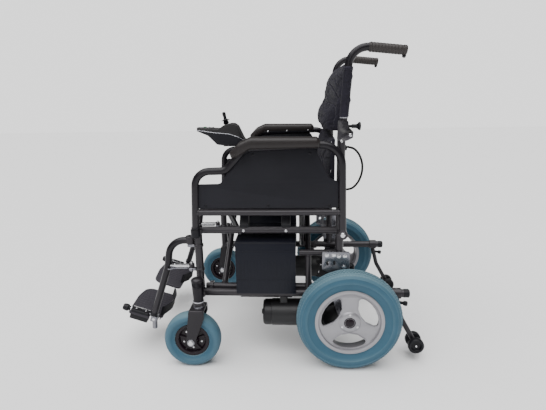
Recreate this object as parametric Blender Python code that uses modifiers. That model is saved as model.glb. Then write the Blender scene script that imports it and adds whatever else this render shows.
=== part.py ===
"""Folding power wheelchair: two side frames joined by a cross brace, with a gear motor on each drive wheel.

The chair faces -X, its left side is -Y, and it stands on Z = 0. Every length is in metres. Stations along
X are measured from the rear axle, and the root empty carries them to the chair's own origin, which lies on
the floor in the middle of its length. Each moving group hangs from an empty on its joint's axis.
"""

import math

import bmesh
import bpy
from mathutils import Matrix, Vector

# Overall reach from the rear axle, and the planes that the pieces stand in
FRONT_REACH = 0.728
REAR_REACH = 0.240
AXLE_X = (FRONT_REACH - REAR_REACH) / 2
FRAME_Y = 0.232
WHEEL_Y = 0.294
CASTER_Y = 0.290
ARM_Y = 0.263
SIDES = {"left": -1, "right": 1}

# Facets round a drive wheel, a caster and an anti-tip roller
WHEEL_STEPS = 24
CASTER_STEPS = 16
TIP_STEPS = 10

# Running gaps: between still pieces, and round a pin, a stem or a tube that turns
GAP = 0.0004
PIN_GAP = 0.0005

# Wheels
TYRE_R = 0.159
TYRE_HALF = 0.030
RIM_R = 0.104
CASTER_R = 0.088
CASTER_HALF = 0.024
CASTER_HUB_R = 0.053
CASTER_AXLE_R = 0.0045
AXLE_R = 0.0085

# Side frame tubes
FRAME_R = 0.0125
POST_X = -0.460
REAR_POST_X = -0.028
LOWER_Z = 0.217
UPPER_Z = 0.425
MID_Z = 0.350
STRUT_X = -0.122
STUB_END_X = 0.186
POST_FOOT_Z = 0.202
POST_TOP_Z = 0.438
BACK_POST_TOP_Z = 0.7025

# Caster housing and fork
BARREL_X = -0.457
BARREL_R = 0.0165
BARREL_LOW_Z = 0.201
BARREL_TOP_Z = 0.282
STEM_R = 0.009
STEM_TOP_Z = 0.258
CASTER_TRAIL = 0.024
CROWN_Z = 0.190
CROWN_THICK = 0.010
BLADE_THICK = 0.005
BLADE_GAP = 0.004

# Cross brace: half the spread of its lower pivots, their height and the seat rails' height
CROSS_Y = 0.206
CROSS_LOW_Z = 0.226
RAIL_Z = 0.478
CROSS_TUBE_R = 0.011
ARM_TUBE_R = 0.0095
CROSS_X = (-0.379, -0.130)
CROSS_STEP = 0.0212
CROSS_BOLT_R = 0.004
RAIL_FRONT_X = -0.440
RAIL_REAR_X = -0.060
REST_X = (-0.317, -0.190)
LUG_X = (-0.430, -0.250, -0.085)

# Armrest: centre line of its bent tube, seen from the side, and the pieces on it
ARM_R = 0.011
ARM_SIDES = 8
ARM_PIVOT_X = -0.022
ARM_PIVOT_Z = 0.418
ARM_FRONT_X = -0.460
ARM_FOOT_Z = 0.413
ARM_TOP_Z = 0.679
ARM_STEP_Z = ARM_TOP_Z - 0.0705
ARM_BAR_Z = 0.480
ARM_BAR_R = 0.0095
ARM_BOLT_R = 0.005
PAD_WIDTH = 0.055
PAD_INNER_Y = 0.2475
SKIRT_THICK = 0.004

# Back cane, its hinge and its grip
BACK_HINGE_X = -0.004
BACK_HINGE_Z = 0.706
BACK_PIN_R = 0.004
CANE_R = 0.011
CANE_X = -0.025
CANE_LOW_Z = BACK_HINGE_Z + 0.007
CANE_LEAN = 0.016
HANDLE_Z = 0.9485
HANDLE_DROP = 0.017
GRIP_FRONT_X = 0.044
GRIP_REAR_X = 0.145
GRIP_R = 0.0138
SLEEVE_R = 0.014
CHEEK_THICK = 0.003
BRACKET_TOP_Z = BACK_HINGE_Z + 0.046
KNOB_Z = BACK_HINGE_Z + 0.024
KNOB_PIN_R = 0.004

# Leg rest hanger and footplate
HANGER_X = -0.486
HANGER_Z = 0.390
HANGER_R = 0.011
HANGER_PIN_R = 0.005
KNUCKLE_R = 0.0115
KNEE_X = -0.560
SHIN_X = -0.572
SHIN_Z = 0.300
ANKLE_X = -0.6235
ANKLE_Z = 0.130
BRACKET_Z = 0.306
LATCH_X = HANGER_X - 0.060
STUD_R = 0.0035
ROD_Y = 0.219
ROD_R = 0.005
FOOT_TILT = math.radians(18)
FOOT_X = -0.700
FOOT_Z = 0.149
FOOT_LENGTH = 0.105
FOOT_WIDTH = 0.172
FOOT_THICK = 0.010
FOOT_DROP = 0.0012
HINGE_BLOCK = 0.028
STRAP_HEIGHT = 0.044
STRAP_THICK = 0.0025
STRAP_BULGE = 0.024

# Drive unit
MOTOR_Y = 0.200
MOTOR_Z = 0.134
MOTOR_R = 0.043
MOTOR_FRONT_X = -0.266
GEARBOX_X = -0.041
GEARBOX_R = 0.044
GEARBOX_HALF = FRAME_Y + FRAME_R - MOTOR_Y
PLATE_THICK = 0.005
PLATE_Y = FRAME_Y + FRAME_R + GAP + PLATE_THICK / 2
CLUTCH_X = 0.012
CLUTCH_Y = 0.207
CLUTCH_Z = 0.195

# Battery boxes
BATTERY_X = (-0.345, -0.160)
BATTERY_Y = (0.110, 0.188)
BATTERY_TOP_Z = 0.377
TRAY_Z = 0.201
TRAY_THICK = 0.006

# Anti-tip arm
TIP_X = 0.150
TIP_R = 0.008
TIP_WHEEL_R = 0.025
TIP_WHEEL_HALF = 0.009
TIP_WHEEL_Z = 0.049
TIP_TRACK = 0.020
TIP_AXLE_R = 0.004

# Controller, on the right armrest
CONTROL_Y = 0.285
CONTROL_WIDTH = 0.070
CONTROL_FOOT_Z = ARM_STEP_Z + 0.0165
CLAMP_X = (-0.405, -0.383)
STICK_X = -0.438
STICK_Z = CONTROL_FOOT_Z + 0.069
STICK_LEAN = math.radians(12)
BALL_R = 0.0165
STICK_R = 0.0035
STICK_PIN_R = 0.002
TRUNNION_R = 0.003
BUTTON_R = 0.006
BUTTON_X = -0.532
BUTTON_SPREAD = 0.017
BUTTON_TOP_Z = CONTROL_FOOT_Z + 0.072
ROCKER_X = -0.503

# Upholstery, and how far the upper back pad bulges ahead of the canes at each share of its height
SEAT_HALF = 0.222
SEAT_REAR_X = -0.087
SEAT_EDGE = 0.022
SEAT_CROWN = 0.016
SEAT_SAG = 0.019
BACK_SPLIT_Z = BACK_HINGE_Z
BACK_SPLIT_GAP = 0.012
BACK_TOP_Z = HANDLE_Z - 0.0425
BACK_LOW_Z = 0.500
BACK_LOW_X = (-0.083, -0.043)
BACK_LOW_HALF = 0.236
SLEEVE_TOP_Z = BACK_TOP_Z - 0.013
BACK_BULGE = (
    (0.0, 0.056),
    (0.12, 0.0605),
    (0.26, 0.057),
    (0.40, 0.043),
    (0.52, 0.038),
    (0.71, 0.035),
    (0.84, 0.028),
    (0.93, 0.015),
    (1.0, 0.002),
)

# The left motor's lead, which loops out behind the post between its two clips
CORD_R = 0.0033
CORD_Y = 0.200
CLIP_X = -0.010
CORD_TOP_Z = 0.667
CORD_FOOT_Z = 0.540
CORD_ROUTE = (
    (0.014, 0.661),
    (0.029, 0.643),
    (0.038, 0.616),
    (0.037, 0.588),
    (0.027, 0.562),
    (0.012, 0.545),
)

for old in list(bpy.data.objects):
    bpy.data.objects.remove(old)
# Two faces that meet at less than this angle are one flat side
FLAT_ANGLE = math.radians(0.05)

PARTS = bpy.data.collections.new("Folding power wheelchair")
TOOLS = bpy.data.collections.new("Cutters")
BENCH = bpy.data.collections.new("Bench")
bpy.context.scene.collection.children.link(BENCH)

# Base colour, roughness and metallic value of each finish
FINISHES = {
    "frame_black": ((0.030, 0.029, 0.034), 0.35, 0.6),
    "zinc": ((0.50, 0.51, 0.55), 0.38, 0.9),
    "tyre_blue": ((0.085, 0.180, 0.235), 0.85, 0.0),
    "rim_silver": ((0.46, 0.46, 0.48), 0.40, 0.8),
    "black_plastic": ((0.014, 0.014, 0.018), 0.45, 0.0),
    "pad_brown": ((0.035, 0.031, 0.031), 0.60, 0.0),
    "skirt_grey": ((0.028, 0.030, 0.037), 0.55, 0.0),
    "grip_rubber": ((0.060, 0.058, 0.058), 0.75, 0.0),
    "footplate_grey": ((0.120, 0.115, 0.130), 0.60, 0.0),
    "nylon": ((0.018, 0.017, 0.023), 0.80, 0.0),
    "motor_black": ((0.015, 0.015, 0.017), 0.40, 0.3),
    "battery_black": ((0.010, 0.012, 0.020), 0.50, 0.0),
    "control_grey": ((0.045, 0.045, 0.052), 0.50, 0.0),
    "button_green": ((0.050, 0.160, 0.080), 0.45, 0.0),
    "cord_black": ((0.010, 0.010, 0.010), 0.60, 0.0),
}
MATERIALS = {}


# Tools that make and join shapes


def finish_material(name):
    """The Principled material of a finish, made once."""
    if name not in MATERIALS:
        color, roughness, metallic = FINISHES[name]
        made = bpy.data.materials.new(name)
        made.use_nodes = True
        shader = made.node_tree.nodes["Principled BSDF"]
        shader.inputs["Base Color"].default_value = (*color, 1)
        shader.inputs["Roughness"].default_value = roughness
        shader.inputs["Metallic"].default_value = metallic
        made.diffuse_color = (*color, 1)
        MATERIALS[name] = made
    return MATERIALS[name]


def facing_out(mesh):
    """Welds a mesh's loose caps, makes each flat side one face, and turns the faces outwards."""
    shape = bmesh.new()
    shape.from_mesh(mesh)
    bmesh.ops.remove_doubles(shape, verts=shape.verts, dist=2e-6)
    bmesh.ops.dissolve_limit(shape, angle_limit=FLAT_ANGLE, verts=shape.verts, edges=shape.edges)
    bmesh.ops.recalc_face_normals(shape, faces=shape.faces)
    if shape.calc_volume(signed=True) < 0:
        bmesh.ops.reverse_faces(shape, faces=shape.faces)
    shape.to_mesh(mesh)
    shape.free()


def meshed(source):
    """A curve or a modified object as a plain mesh object in its place."""
    BENCH.objects.link(source)
    seen = source.evaluated_get(bpy.context.evaluated_depsgraph_get())
    mesh = bpy.data.meshes.new_from_object(seen)
    made = bpy.data.objects.new(source.name, mesh)
    mesh.transform(source.matrix_world)
    bpy.data.objects.remove(source)
    facing_out(mesh)
    PARTS.objects.link(made)
    return made


def tube(points, radius, sides=8):
    """A round bar along the points, with flat ends."""
    curve = bpy.data.curves.new("tube", "CURVE")
    curve.dimensions = "3D"
    spline = curve.splines.new("POLY")
    spline.points.add(len(points) - 1)
    for place, point in zip(spline.points, points):
        place.co = (*point, 1)
    curve.bevel_depth = radius
    curve.bevel_resolution = sides // 2 - 2
    curve.use_fill_caps = True
    return meshed(bpy.data.objects.new("tube", curve))


def plate(outline, thickness, matrix, holes=()):
    """A flat outline with holes, in the matrix's own XY plane, with its thickness centred on that plane."""
    curve = bpy.data.curves.new("plate", "CURVE")
    curve.dimensions = "2D"
    curve.fill_mode = "BOTH"
    curve.extrude = thickness / 2
    for ring in (outline, *holes):
        spline = curve.splines.new("POLY")
        spline.points.add(len(ring) - 1)
        for place, point in zip(spline.points, ring):
            place.co = (point[0], point[1], 0, 1)
        spline.use_cyclic_u = True
    source = bpy.data.objects.new("plate", curve)
    source.matrix_world = matrix
    return meshed(source)


def lathe(profile, matrix, steps=32, ring=False):
    """A turned shape about the matrix's Z axis. The profile is (radius, height) and may be a closed ring."""
    mesh = bpy.data.meshes.new("lathe")
    edges = [(i, i + 1) for i in range(len(profile) - 1)]
    if ring:
        edges.append((len(profile) - 1, 0))
    mesh.from_pydata([(r, 0, h) for r, h in profile], edges, [])
    source = bpy.data.objects.new("lathe", mesh)
    source.matrix_world = matrix
    screw = source.modifiers.new("Turn", "SCREW")
    screw.steps = steps
    screw.render_steps = steps
    screw.use_merge_vertices = True
    screw.merge_threshold = 1e-5
    return meshed(source)


def block(low, high, bevel=0.0, segments=1, matrix=None):
    """A box between two corners, its edges bevelled where asked."""
    low, high = Vector(low), Vector(high)
    mesh = bpy.data.meshes.new("block")
    shape = bmesh.new()
    bmesh.ops.create_cube(shape, size=1)
    for vert in shape.verts:
        vert.co = [a + (b - a) * (c + 0.5) for a, b, c in zip(low, high, vert.co)]
    if bevel:
        bmesh.ops.bevel(shape, geom=shape.edges, offset=bevel, segments=segments, profile=0.5, affect="EDGES")
    shape.to_mesh(mesh)
    shape.free()
    if matrix:
        mesh.transform(matrix)
    facing_out(mesh)
    made = bpy.data.objects.new("block", mesh)
    PARTS.objects.link(made)
    return made


def slab(low, high, side, bevel=0.0, segments=1):
    """A box whose Y values are distances out from the chair's middle, on the given side."""
    ys = sorted((low[1] * side, high[1] * side))
    return block((low[0], ys[0], low[2]), (high[0], ys[1], high[2]), bevel, segments)


def combine(base, operation, others):
    """Adds a Boolean for each other shape and puts that shape with the cutters."""
    for other in others:
        modifier = base.modifiers.new(operation.title(), "BOOLEAN")
        modifier.operation = operation
        modifier.object = other
        other.name = "tool_" + other.name
        other.parent = base
        other.hide_render = True
        other.display_type = "WIRE"
        PARTS.objects.unlink(other)
        TOOLS.objects.link(other)
    return base


def join(base, *others):
    return combine(base, "UNION", others)


def cut(base, *others):
    return combine(base, "DIFFERENCE", others)


def trim(base, *others):
    return combine(base, "INTERSECT", others)


def moulded(cells, place):
    """A cube divided into cells along each axis, its points moved by place(u, v, w), each from -1 to 1."""
    mesh = bpy.data.meshes.new("moulded")
    shape = bmesh.new()
    bmesh.ops.create_cube(shape, size=2)
    for axis, count in enumerate(cells):
        normal = Vector([1.0 if i == axis else 0.0 for i in range(3)])
        for i in range(1, count):
            everything = shape.verts[:] + shape.edges[:] + shape.faces[:]
            through = normal * (2 * i / count - 1)
            bmesh.ops.bisect_plane(shape, geom=everything, plane_co=through, plane_no=normal)
    for vert in shape.verts:
        vert.co = place(*vert.co)
    shape.to_mesh(mesh)
    shape.free()
    facing_out(mesh)
    made = bpy.data.objects.new("moulded", mesh)
    PARTS.objects.link(made)
    return made


def piece(shape, name, finish):
    """Names a finished shape, and gives it its finish and smooth round faces."""
    shape.name = name
    shape.data.name = name
    shape.data.materials.clear()
    shape.data.materials.append(finish_material(finish))
    shape.data.shade_smooth()
    shape.data.set_sharp_from_angle(angle=math.radians(34))
    return shape


# Geometry that several pieces share


def bent(corners, radii, steps=3):
    """Points along straight runs whose inner corners are rounded to the radii."""
    corners = [Vector(c) for c in corners]
    points = [corners[0]]
    for before, corner, after, radius in zip(corners, corners[1:], corners[2:], radii):
        into, out = (before - corner).normalized(), (after - corner).normalized()
        half = into.angle(out) / 2
        reach = radius / math.tan(half)
        centre = corner + (into + out).normalized() * (radius / math.sin(half))
        start = (corner + into * reach - centre).normalized()
        end = (corner + out * reach - centre).normalized()
        for step in range(steps + 1):
            points.append(centre + start.slerp(end, step / steps) * radius)
    points.append(corners[-1])
    return points


def rounded(corners, radii, steps=3):
    """A closed outline whose corners are rounded to the radii."""
    if isinstance(radii, (int, float)):
        radii = [radii] * len(corners)
    flat = [Vector((*c, 0)) for c in corners]
    points = []
    for i, (corner, radius) in enumerate(zip(flat, radii)):
        if not radius:
            points.append(corner)
            continue
        points += bent([flat[i - 1], corner, flat[(i + 1) % len(flat)]], [radius], steps)[1:-1]
    return [(p.x, p.y) for p in points]


def rolling(matrix, steps):
    """Turns a wheel of so many facets on to a flat one, and makes that facet lie at the wheel's radius."""
    grow = 1 / math.cos(math.pi / steps)
    return matrix @ Matrix.Rotation(math.pi / steps, 4, "Z") @ Matrix.Diagonal((grow, grow, 1, 1))


def circle(x, z, radius, steps=16):
    return [
        (x + radius * math.cos(2 * math.pi * i / steps), z + radius * math.sin(2 * math.pi * i / steps))
        for i in range(steps)
    ]


def hull(large, small, steps=6):
    """The outline round two circles, each given as its centre and radius."""
    (ax, az), ar = large
    (bx, bz), br = small
    heading = math.atan2(bz - az, bx - ax)
    spread = math.acos((ar - br) / math.hypot(bx - ax, bz - az))
    points = []
    for x, z, radius, start, sweep in (
        (ax, az, ar, heading + spread, 2 * math.pi - 2 * spread),
        (bx, bz, br, heading - spread, 2 * spread),
    ):
        for i in range(steps + 1):
            turn = start + sweep * i / steps
            points.append((x + radius * math.cos(turn), z + radius * math.sin(turn)))
    return points


def upright(y):
    """The plane Y = y, seen from the chair's left: its own X and Y are the chair's X and Z."""
    return Matrix.Translation((0, y, 0)) @ Matrix.Rotation(math.radians(90), 4, "X")


def outward(x, y, z, side):
    """A place whose own Z axis points out from the chair, to the given side."""
    return Matrix.Translation((x, y, z)) @ Matrix.Rotation(math.radians(-90 * side), 4, "X")


def standing(x, y, z):
    return Matrix.Translation((x, y, z))


def disc(radius, low, high, matrix, steps=10):
    """A round bar along the matrix's Z axis."""
    return lathe([(0, high), (radius, high), (radius, low), (0, low)], matrix, steps)


def bore(radius, steps, gap=PIN_GAP):
    """The corner radius of a bore of so many facets whose flats clear a round bar by the gap."""
    return (radius + gap) / math.cos(math.pi / steps)


def along_x(x, y, z):
    """A place whose own Z axis points along +X."""
    return Matrix.Translation((x, y, z)) @ Matrix.Rotation(math.radians(90), 4, "Y")


# Side frame


def hanger_seats(side):
    """The two collars on the front post, each with an ear and a pin for the leg rest's knuckles."""
    y = side * FRAME_Y
    made = []
    for top in (HANGER_Z - KNUCKLE_R - GAP, BRACKET_Z - 0.006 - GAP):
        low = top - 0.010
        made += [
            disc(FRAME_R + 0.0035, low, top, standing(POST_X, y, 0)),
            slab((HANGER_X, FRAME_Y - 0.007, low + 0.001), (POST_X, FRAME_Y + 0.007, top - 0.0012), side),
            disc(0.0095, low + 0.0005, top - 0.0003, standing(HANGER_X, y, 0)),
            disc(HANGER_PIN_R, low + 0.002, top + 0.019, standing(HANGER_X, y, 0), 8),
        ]
    return made


def caster_housing(side):
    y = side * CASTER_Y
    barrel = lathe(
        [
            (0, BARREL_TOP_Z + 0.009),
            (0.010, BARREL_TOP_Z + 0.007),
            (BARREL_R, BARREL_TOP_Z),
            (BARREL_R + 0.002, BARREL_LOW_Z),
            (0, BARREL_LOW_Z),
        ],
        standing(BARREL_X, y, 0),
        14,
    )
    web = slab((BARREL_X - 0.004, FRAME_Y, 0.212), (BARREL_X + 0.004, CASTER_Y, 0.270), side)
    return [barrel, web]


def stem_bore(side):
    place = standing(BARREL_X, side * CASTER_Y, 0)
    return disc(bore(STEM_R, 10), BARREL_LOW_Z - 0.02, STEM_TOP_Z + 0.003, place)


def cross_lugs(side):
    """Bearing rings on the lower tube that hold the cross brace's lower tube."""
    y = side * CROSS_Y
    made = []
    for x in LUG_X:
        made += [
            disc(CROSS_TUBE_R + 0.0055, -0.006, 0.006, along_x(x, y, CROSS_LOW_Z)),
            slab((x - 0.005, CROSS_Y, LOWER_Z - 0.002), (x + 0.005, FRAME_Y, CROSS_LOW_Z + 0.004), side),
        ]
    return made


def back_bracket(side):
    """Cheeks and pin of the back's hinge, on top of the rear post."""
    corners = [(-0.041, 0.676), (-0.010, 0.676), (0.006, 0.696), (0.006, 0.722)]
    outline = rounded([*corners, (-0.008, BRACKET_TOP_Z), (-0.041, BRACKET_TOP_Z)], 0.004, 1)
    made = []
    for offset in (-1, 1):
        middle = FRAME_Y + offset * (CANE_R + 0.0008 + CHEEK_THICK / 2)
        made.append(plate(outline, CHEEK_THICK, upright(side * middle)))
    bridge = slab((-0.0395, FRAME_Y - 0.0135, 0.678), (-0.0165, FRAME_Y + 0.0135, 0.700), side)
    reach = CANE_R + CHEEK_THICK
    pin = disc(BACK_PIN_R, -reach, reach, outward(BACK_HINGE_X, side * FRAME_Y, BACK_HINGE_Z, side), 8)
    return [*made, bridge, pin]


def arm_socket(side):
    """The cup beside the front post's top that takes the armrest's front leg, and the rear pivot's bolt."""
    y = side * ARM_Y
    cup = disc(ARM_R + 0.005, ARM_FOOT_Z - 0.005, ARM_FOOT_Z + 0.020, standing(ARM_FRONT_X, y, 0))
    low = (POST_X - 0.009, FRAME_Y, ARM_FOOT_Z - 0.004)
    high = (POST_X + 0.009, ARM_Y - 0.004, ARM_FOOT_Z + 0.0115)
    bridge = slab(low, high, side)
    bolt = lathe(
        [
            (0, ARM_Y + 0.016),
            (0.006, ARM_Y + 0.015),
            (0.008, ARM_Y + 0.012),
            (ARM_BOLT_R, ARM_Y + 0.0115),
            (ARM_BOLT_R, FRAME_Y),
            (0, FRAME_Y),
        ],
        outward(ARM_PIVOT_X, 0, ARM_PIVOT_Z, side),
        8,
    )
    return [cup, bridge, bolt]


def side_frame(label, side):
    y = side * FRAME_Y
    post = tube([(POST_X, y, POST_FOOT_Z), (POST_X, y, POST_TOP_Z)], FRAME_R, 10)
    tubes = [
        tube([(POST_X, y, LOWER_Z), (STUB_END_X, y, LOWER_Z)], FRAME_R, 10),
        tube([(POST_X, y, UPPER_Z - 0.003), (REAR_POST_X, y, UPPER_Z - 0.003)], ARM_R),
        tube([(REAR_POST_X, y, LOWER_Z), (REAR_POST_X, y, BACK_POST_TOP_Z)], FRAME_R - 0.0005, 10),
        tube([(STRUT_X - 0.028, y, MID_Z), (REAR_POST_X, y, MID_Z)], 0.0095),
        tube([(STRUT_X, y, LOWER_Z), (STRUT_X, y, MID_Z)], 0.009),
        disc(FRAME_R + 0.001, 0, 0.012, along_x(STUB_END_X - 0.008, y, LOWER_Z)),
    ]
    rests = []
    for x in REST_X:
        low = (x - 0.014, CROSS_Y - 0.010, UPPER_Z - 0.004)
        rests.append(slab(low, (x + 0.014, FRAME_Y + 0.006, RAIL_Z - 0.007), side))
    tray = slab(
        (BATTERY_X[0] + 0.010, BATTERY_Y[0], TRAY_Z),
        (BATTERY_X[1] - 0.012, FRAME_Y + 0.004, TRAY_Z + TRAY_THICK),
        side,
    )
    grommets = []
    if label == "left":
        grommets = [
            slab((REAR_POST_X, CORD_Y - 0.008, z - 0.007), (CLIP_X, FRAME_Y - 0.006, z + 0.007), side)
            for z in (CORD_TOP_Z, CORD_FOOT_Z)
        ]
    frame = join(
        post, *tubes, *rests, tray, *grommets, *hanger_seats(side), *caster_housing(side),
        *cross_lugs(side), *back_bracket(side), *arm_socket(side),
    )
    across = side * CROSS_Y
    seat = [(RAIL_FRONT_X - 0.1, across, RAIL_Z), (0.1, across, RAIL_Z)]
    rail_seat = tube(seat, bore(CROSS_TUBE_R, 12, GAP), 12)
    pivot = [(RAIL_FRONT_X - 0.05, across, CROSS_LOW_Z), (-0.045, across, CROSS_LOW_Z)]
    pivot_bore = tube(pivot, bore(CROSS_TUBE_R, 10), 10)
    cup_place = standing(ARM_FRONT_X, side * ARM_Y, 0)
    cup_bore = disc(bore(ARM_R, 10), ARM_FOOT_Z - GAP, ARM_FOOT_Z + 0.06, cup_place)
    cut(frame, stem_bore(side), rail_seat, pivot_bore, cup_bore)
    return piece(frame, f"{label}_side_frame", "frame_black")


# Cross brace


def cross_frame(label, low_side, step):
    """One leaf of the cross brace: a tube in one frame's lugs, two arms, and the other side's seat rail."""
    low = Vector((0, low_side * CROSS_Y, CROSS_LOW_Z))
    high = Vector((0, -low_side * CROSS_Y, RAIL_Z))
    pivot = tube(
        [low + Vector((RAIL_FRONT_X - 0.008, 0, 0)), low + Vector((RAIL_REAR_X, 0, 0))], CROSS_TUBE_R, 10
    )
    rail = tube([high + Vector((RAIL_FRONT_X, 0, 0)), high + Vector((RAIL_REAR_X, 0, 0))], CROSS_TUBE_R, 10)
    stations = [CROSS_X[0] - step / 2, CROSS_X[1] + step / 2]
    arms = [tube([low + Vector((x, 0, 0)), high + Vector((x, 0, 0))], ARM_TUBE_R) for x in stations]
    frame = join(pivot, rail, *arms)
    middle = (low + high) / 2
    for x, towards in zip(stations, (1, -1)):
        if label == "a":
            start, end = sorted((x, x + towards * (CROSS_STEP + ARM_TUBE_R + 0.004)))
            bolt = disc(CROSS_BOLT_R, start, end, along_x(0, middle.y, middle.z))
            head_x = x + towards * (CROSS_STEP + ARM_TUBE_R + 0.001)
            ends = sorted((head_x, head_x + towards * 0.005))
            join(frame, bolt, disc(0.0075, *ends, along_x(0, middle.y, middle.z)))
        else:
            cut(frame, disc(bore(CROSS_BOLT_R, 10), x - 0.03, x + 0.03, along_x(0, middle.y, middle.z)))
    return piece(frame, f"cross_brace_{label}", "frame_black")


# Wheels


def drive_tyre(label, side):
    crown, half = TYRE_R, TYRE_HALF
    side_wall = [
        (crown, 0.012),
        (crown - 0.009, 0.026),
        (crown - 0.026, half),
        (RIM_R + GAP, half - 0.0125),
    ]
    profile = side_wall + [(r, -h) for r, h in reversed(side_wall)]
    place = rolling(outward(0, side * WHEEL_Y, TYRE_R, side), WHEEL_STEPS)
    shape = lathe(profile, place, WHEEL_STEPS, ring=True)
    return piece(shape, f"{label}_drive_tyre", "tyre_blue")


def rim_window(middle, inner_r, outer_r):
    """One opening between two spokes, its straight sides along the spokes and its outer side round."""
    points = []
    for angle in (-29, -10, 10, 29):
        turn = math.radians(middle + angle)
        points.append((outer_r * math.cos(turn), TYRE_R + outer_r * math.sin(turn)))
    for angle in (16, -16):
        turn = math.radians(middle + angle)
        points.append((inner_r * math.cos(turn), TYRE_R + inner_r * math.sin(turn)))
    return rounded(points, [0.010, 0, 0, 0.010, 0.008, 0.008], 1)


def drive_rim(label, side):
    """A cast wheel with three broad spokes, its hub boss with a domed cap outside and the shaft inside."""
    edge = [
        (RIM_R, 0.0182),
        (RIM_R + 0.0035, 0.0218),
        (RIM_R - 0.008, 0.0235),
    ]
    place = rolling(outward(0, side * WHEEL_Y, TYRE_R, side), WHEEL_STEPS)
    barrel = lathe(edge + [(r, -h) for r, h in reversed(edge)], place, WHEEL_STEPS, ring=True)
    windows = [rim_window(middle, 0.044, 0.085) for middle in (30, 150, 270)]
    web_y = WHEEL_Y + 0.013
    web = plate(circle(0, TYRE_R, RIM_R - 0.005, WHEEL_STEPS), 0.010, upright(side * web_y), windows)
    hub = lathe(
        [
            (0, 0.0275),
            (0.008, 0.0265),
            (0.0135, 0.0235),
            (0.0155, 0.0195),
            (0.034, 0.0187),
            (0.037, 0.013),
            (0.026, -0.004),
            (0.024, -0.026),
            (AXLE_R, -0.026),
            (AXLE_R, -(WHEEL_Y - PLATE_Y + 0.010)),
            (0, -(WHEEL_Y - PLATE_Y + 0.010)),
        ],
        outward(0, side * WHEEL_Y, TYRE_R, side),
        10,
    )
    return piece(join(barrel, web, hub), f"{label}_drive_wheel", "rim_silver")


def caster_tyre(label, side):
    crown, half = CASTER_R, CASTER_HALF
    side_wall = [
        (crown, 0.012),
        (crown - 0.013, half),
        (CASTER_HUB_R + GAP, half - 0.009),
    ]
    profile = side_wall + [(r, -h) for r, h in reversed(side_wall)]
    place = rolling(outward(BARREL_X - CASTER_TRAIL, side * CASTER_Y, CASTER_R, side), CASTER_STEPS)
    shape = lathe(profile, place, CASTER_STEPS, ring=True)
    return piece(shape, f"{label}_caster_tyre", "tyre_blue")


def caster_hub(label, side):
    """Rim, dished web and bearing boss of the caster wheel, bored for its axle."""
    hole = CASTER_AXLE_R + PIN_GAP
    outer = CASTER_HUB_R
    half = [
        (outer, 0.0140),
        (outer - 0.010, 0.0130),
        (outer - 0.014, 0.0055),
        (0.022, 0.0055),
        (0.016, 0.0220),
        (hole, 0.0220),
    ]
    profile = half + [(r, -h) for r, h in reversed(half)]
    place = rolling(outward(BARREL_X - CASTER_TRAIL, side * CASTER_Y, CASTER_R, side), CASTER_STEPS)
    shape = lathe(profile, place, CASTER_STEPS, ring=True)
    return piece(shape, f"{label}_caster_hub", "black_plastic")


def caster_fork(label, side):
    y = side * CASTER_Y
    axle_x = BARREL_X - CASTER_TRAIL
    blade_y = CASTER_HALF + BLADE_GAP + BLADE_THICK / 2
    crown = slab(
        (BARREL_X - 0.026, CASTER_Y - blade_y - BLADE_THICK / 2, CROWN_Z - CROWN_THICK / 2),
        (BARREL_X + 0.020, CASTER_Y + blade_y + BLADE_THICK / 2, CROWN_Z + CROWN_THICK / 2),
        side,
    )
    top = CROWN_Z + 0.0013
    outline = rounded(
        [
            (BARREL_X - 0.026, top),
            (axle_x - 0.014, CASTER_R + 0.004),
            (axle_x - 0.008, CASTER_R - 0.014),
            (axle_x + 0.010, CASTER_R - 0.014),
            (axle_x + 0.015, CASTER_R + 0.006),
            (BARREL_X + 0.020, CROWN_Z - 0.022),
            (BARREL_X + 0.020, top),
        ],
        [0, 0.008, 0.009, 0.009, 0.010, 0.012, 0],
        1,
    )
    blades = [plate(outline, BLADE_THICK, upright(y + k * blade_y)) for k in (-1, 1)]
    stem = lathe(
        [
            (0, STEM_TOP_Z),
            (STEM_R - 0.001, STEM_TOP_Z),
            (STEM_R, STEM_TOP_Z - 0.001),
            (STEM_R, BARREL_LOW_Z - 0.0008),
            (0.0175, BARREL_LOW_Z - 0.0008),
            (0.0175, CROWN_Z),
            (0, CROWN_Z),
        ],
        standing(BARREL_X, y, 0),
        10,
    )
    reach = blade_y + BLADE_THICK / 2
    axle = lathe(
        [
            (0, reach + 0.005),
            (0.006, reach + 0.0045),
            (0.0075, reach + 0.0015),
            (0.0075, reach - 0.001),
            (CASTER_AXLE_R, reach - 0.001),
            (CASTER_AXLE_R, -reach + 0.001),
            (0.0075, -reach + 0.001),
            (0.0075, -reach - 0.0035),
            (0, -reach - 0.0035),
        ],
        outward(axle_x, y, CASTER_R, side),
        8,
    )
    return piece(join(crown, *blades, stem, axle), f"{label}_caster_fork", "frame_black")


# Drive units and batteries


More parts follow.
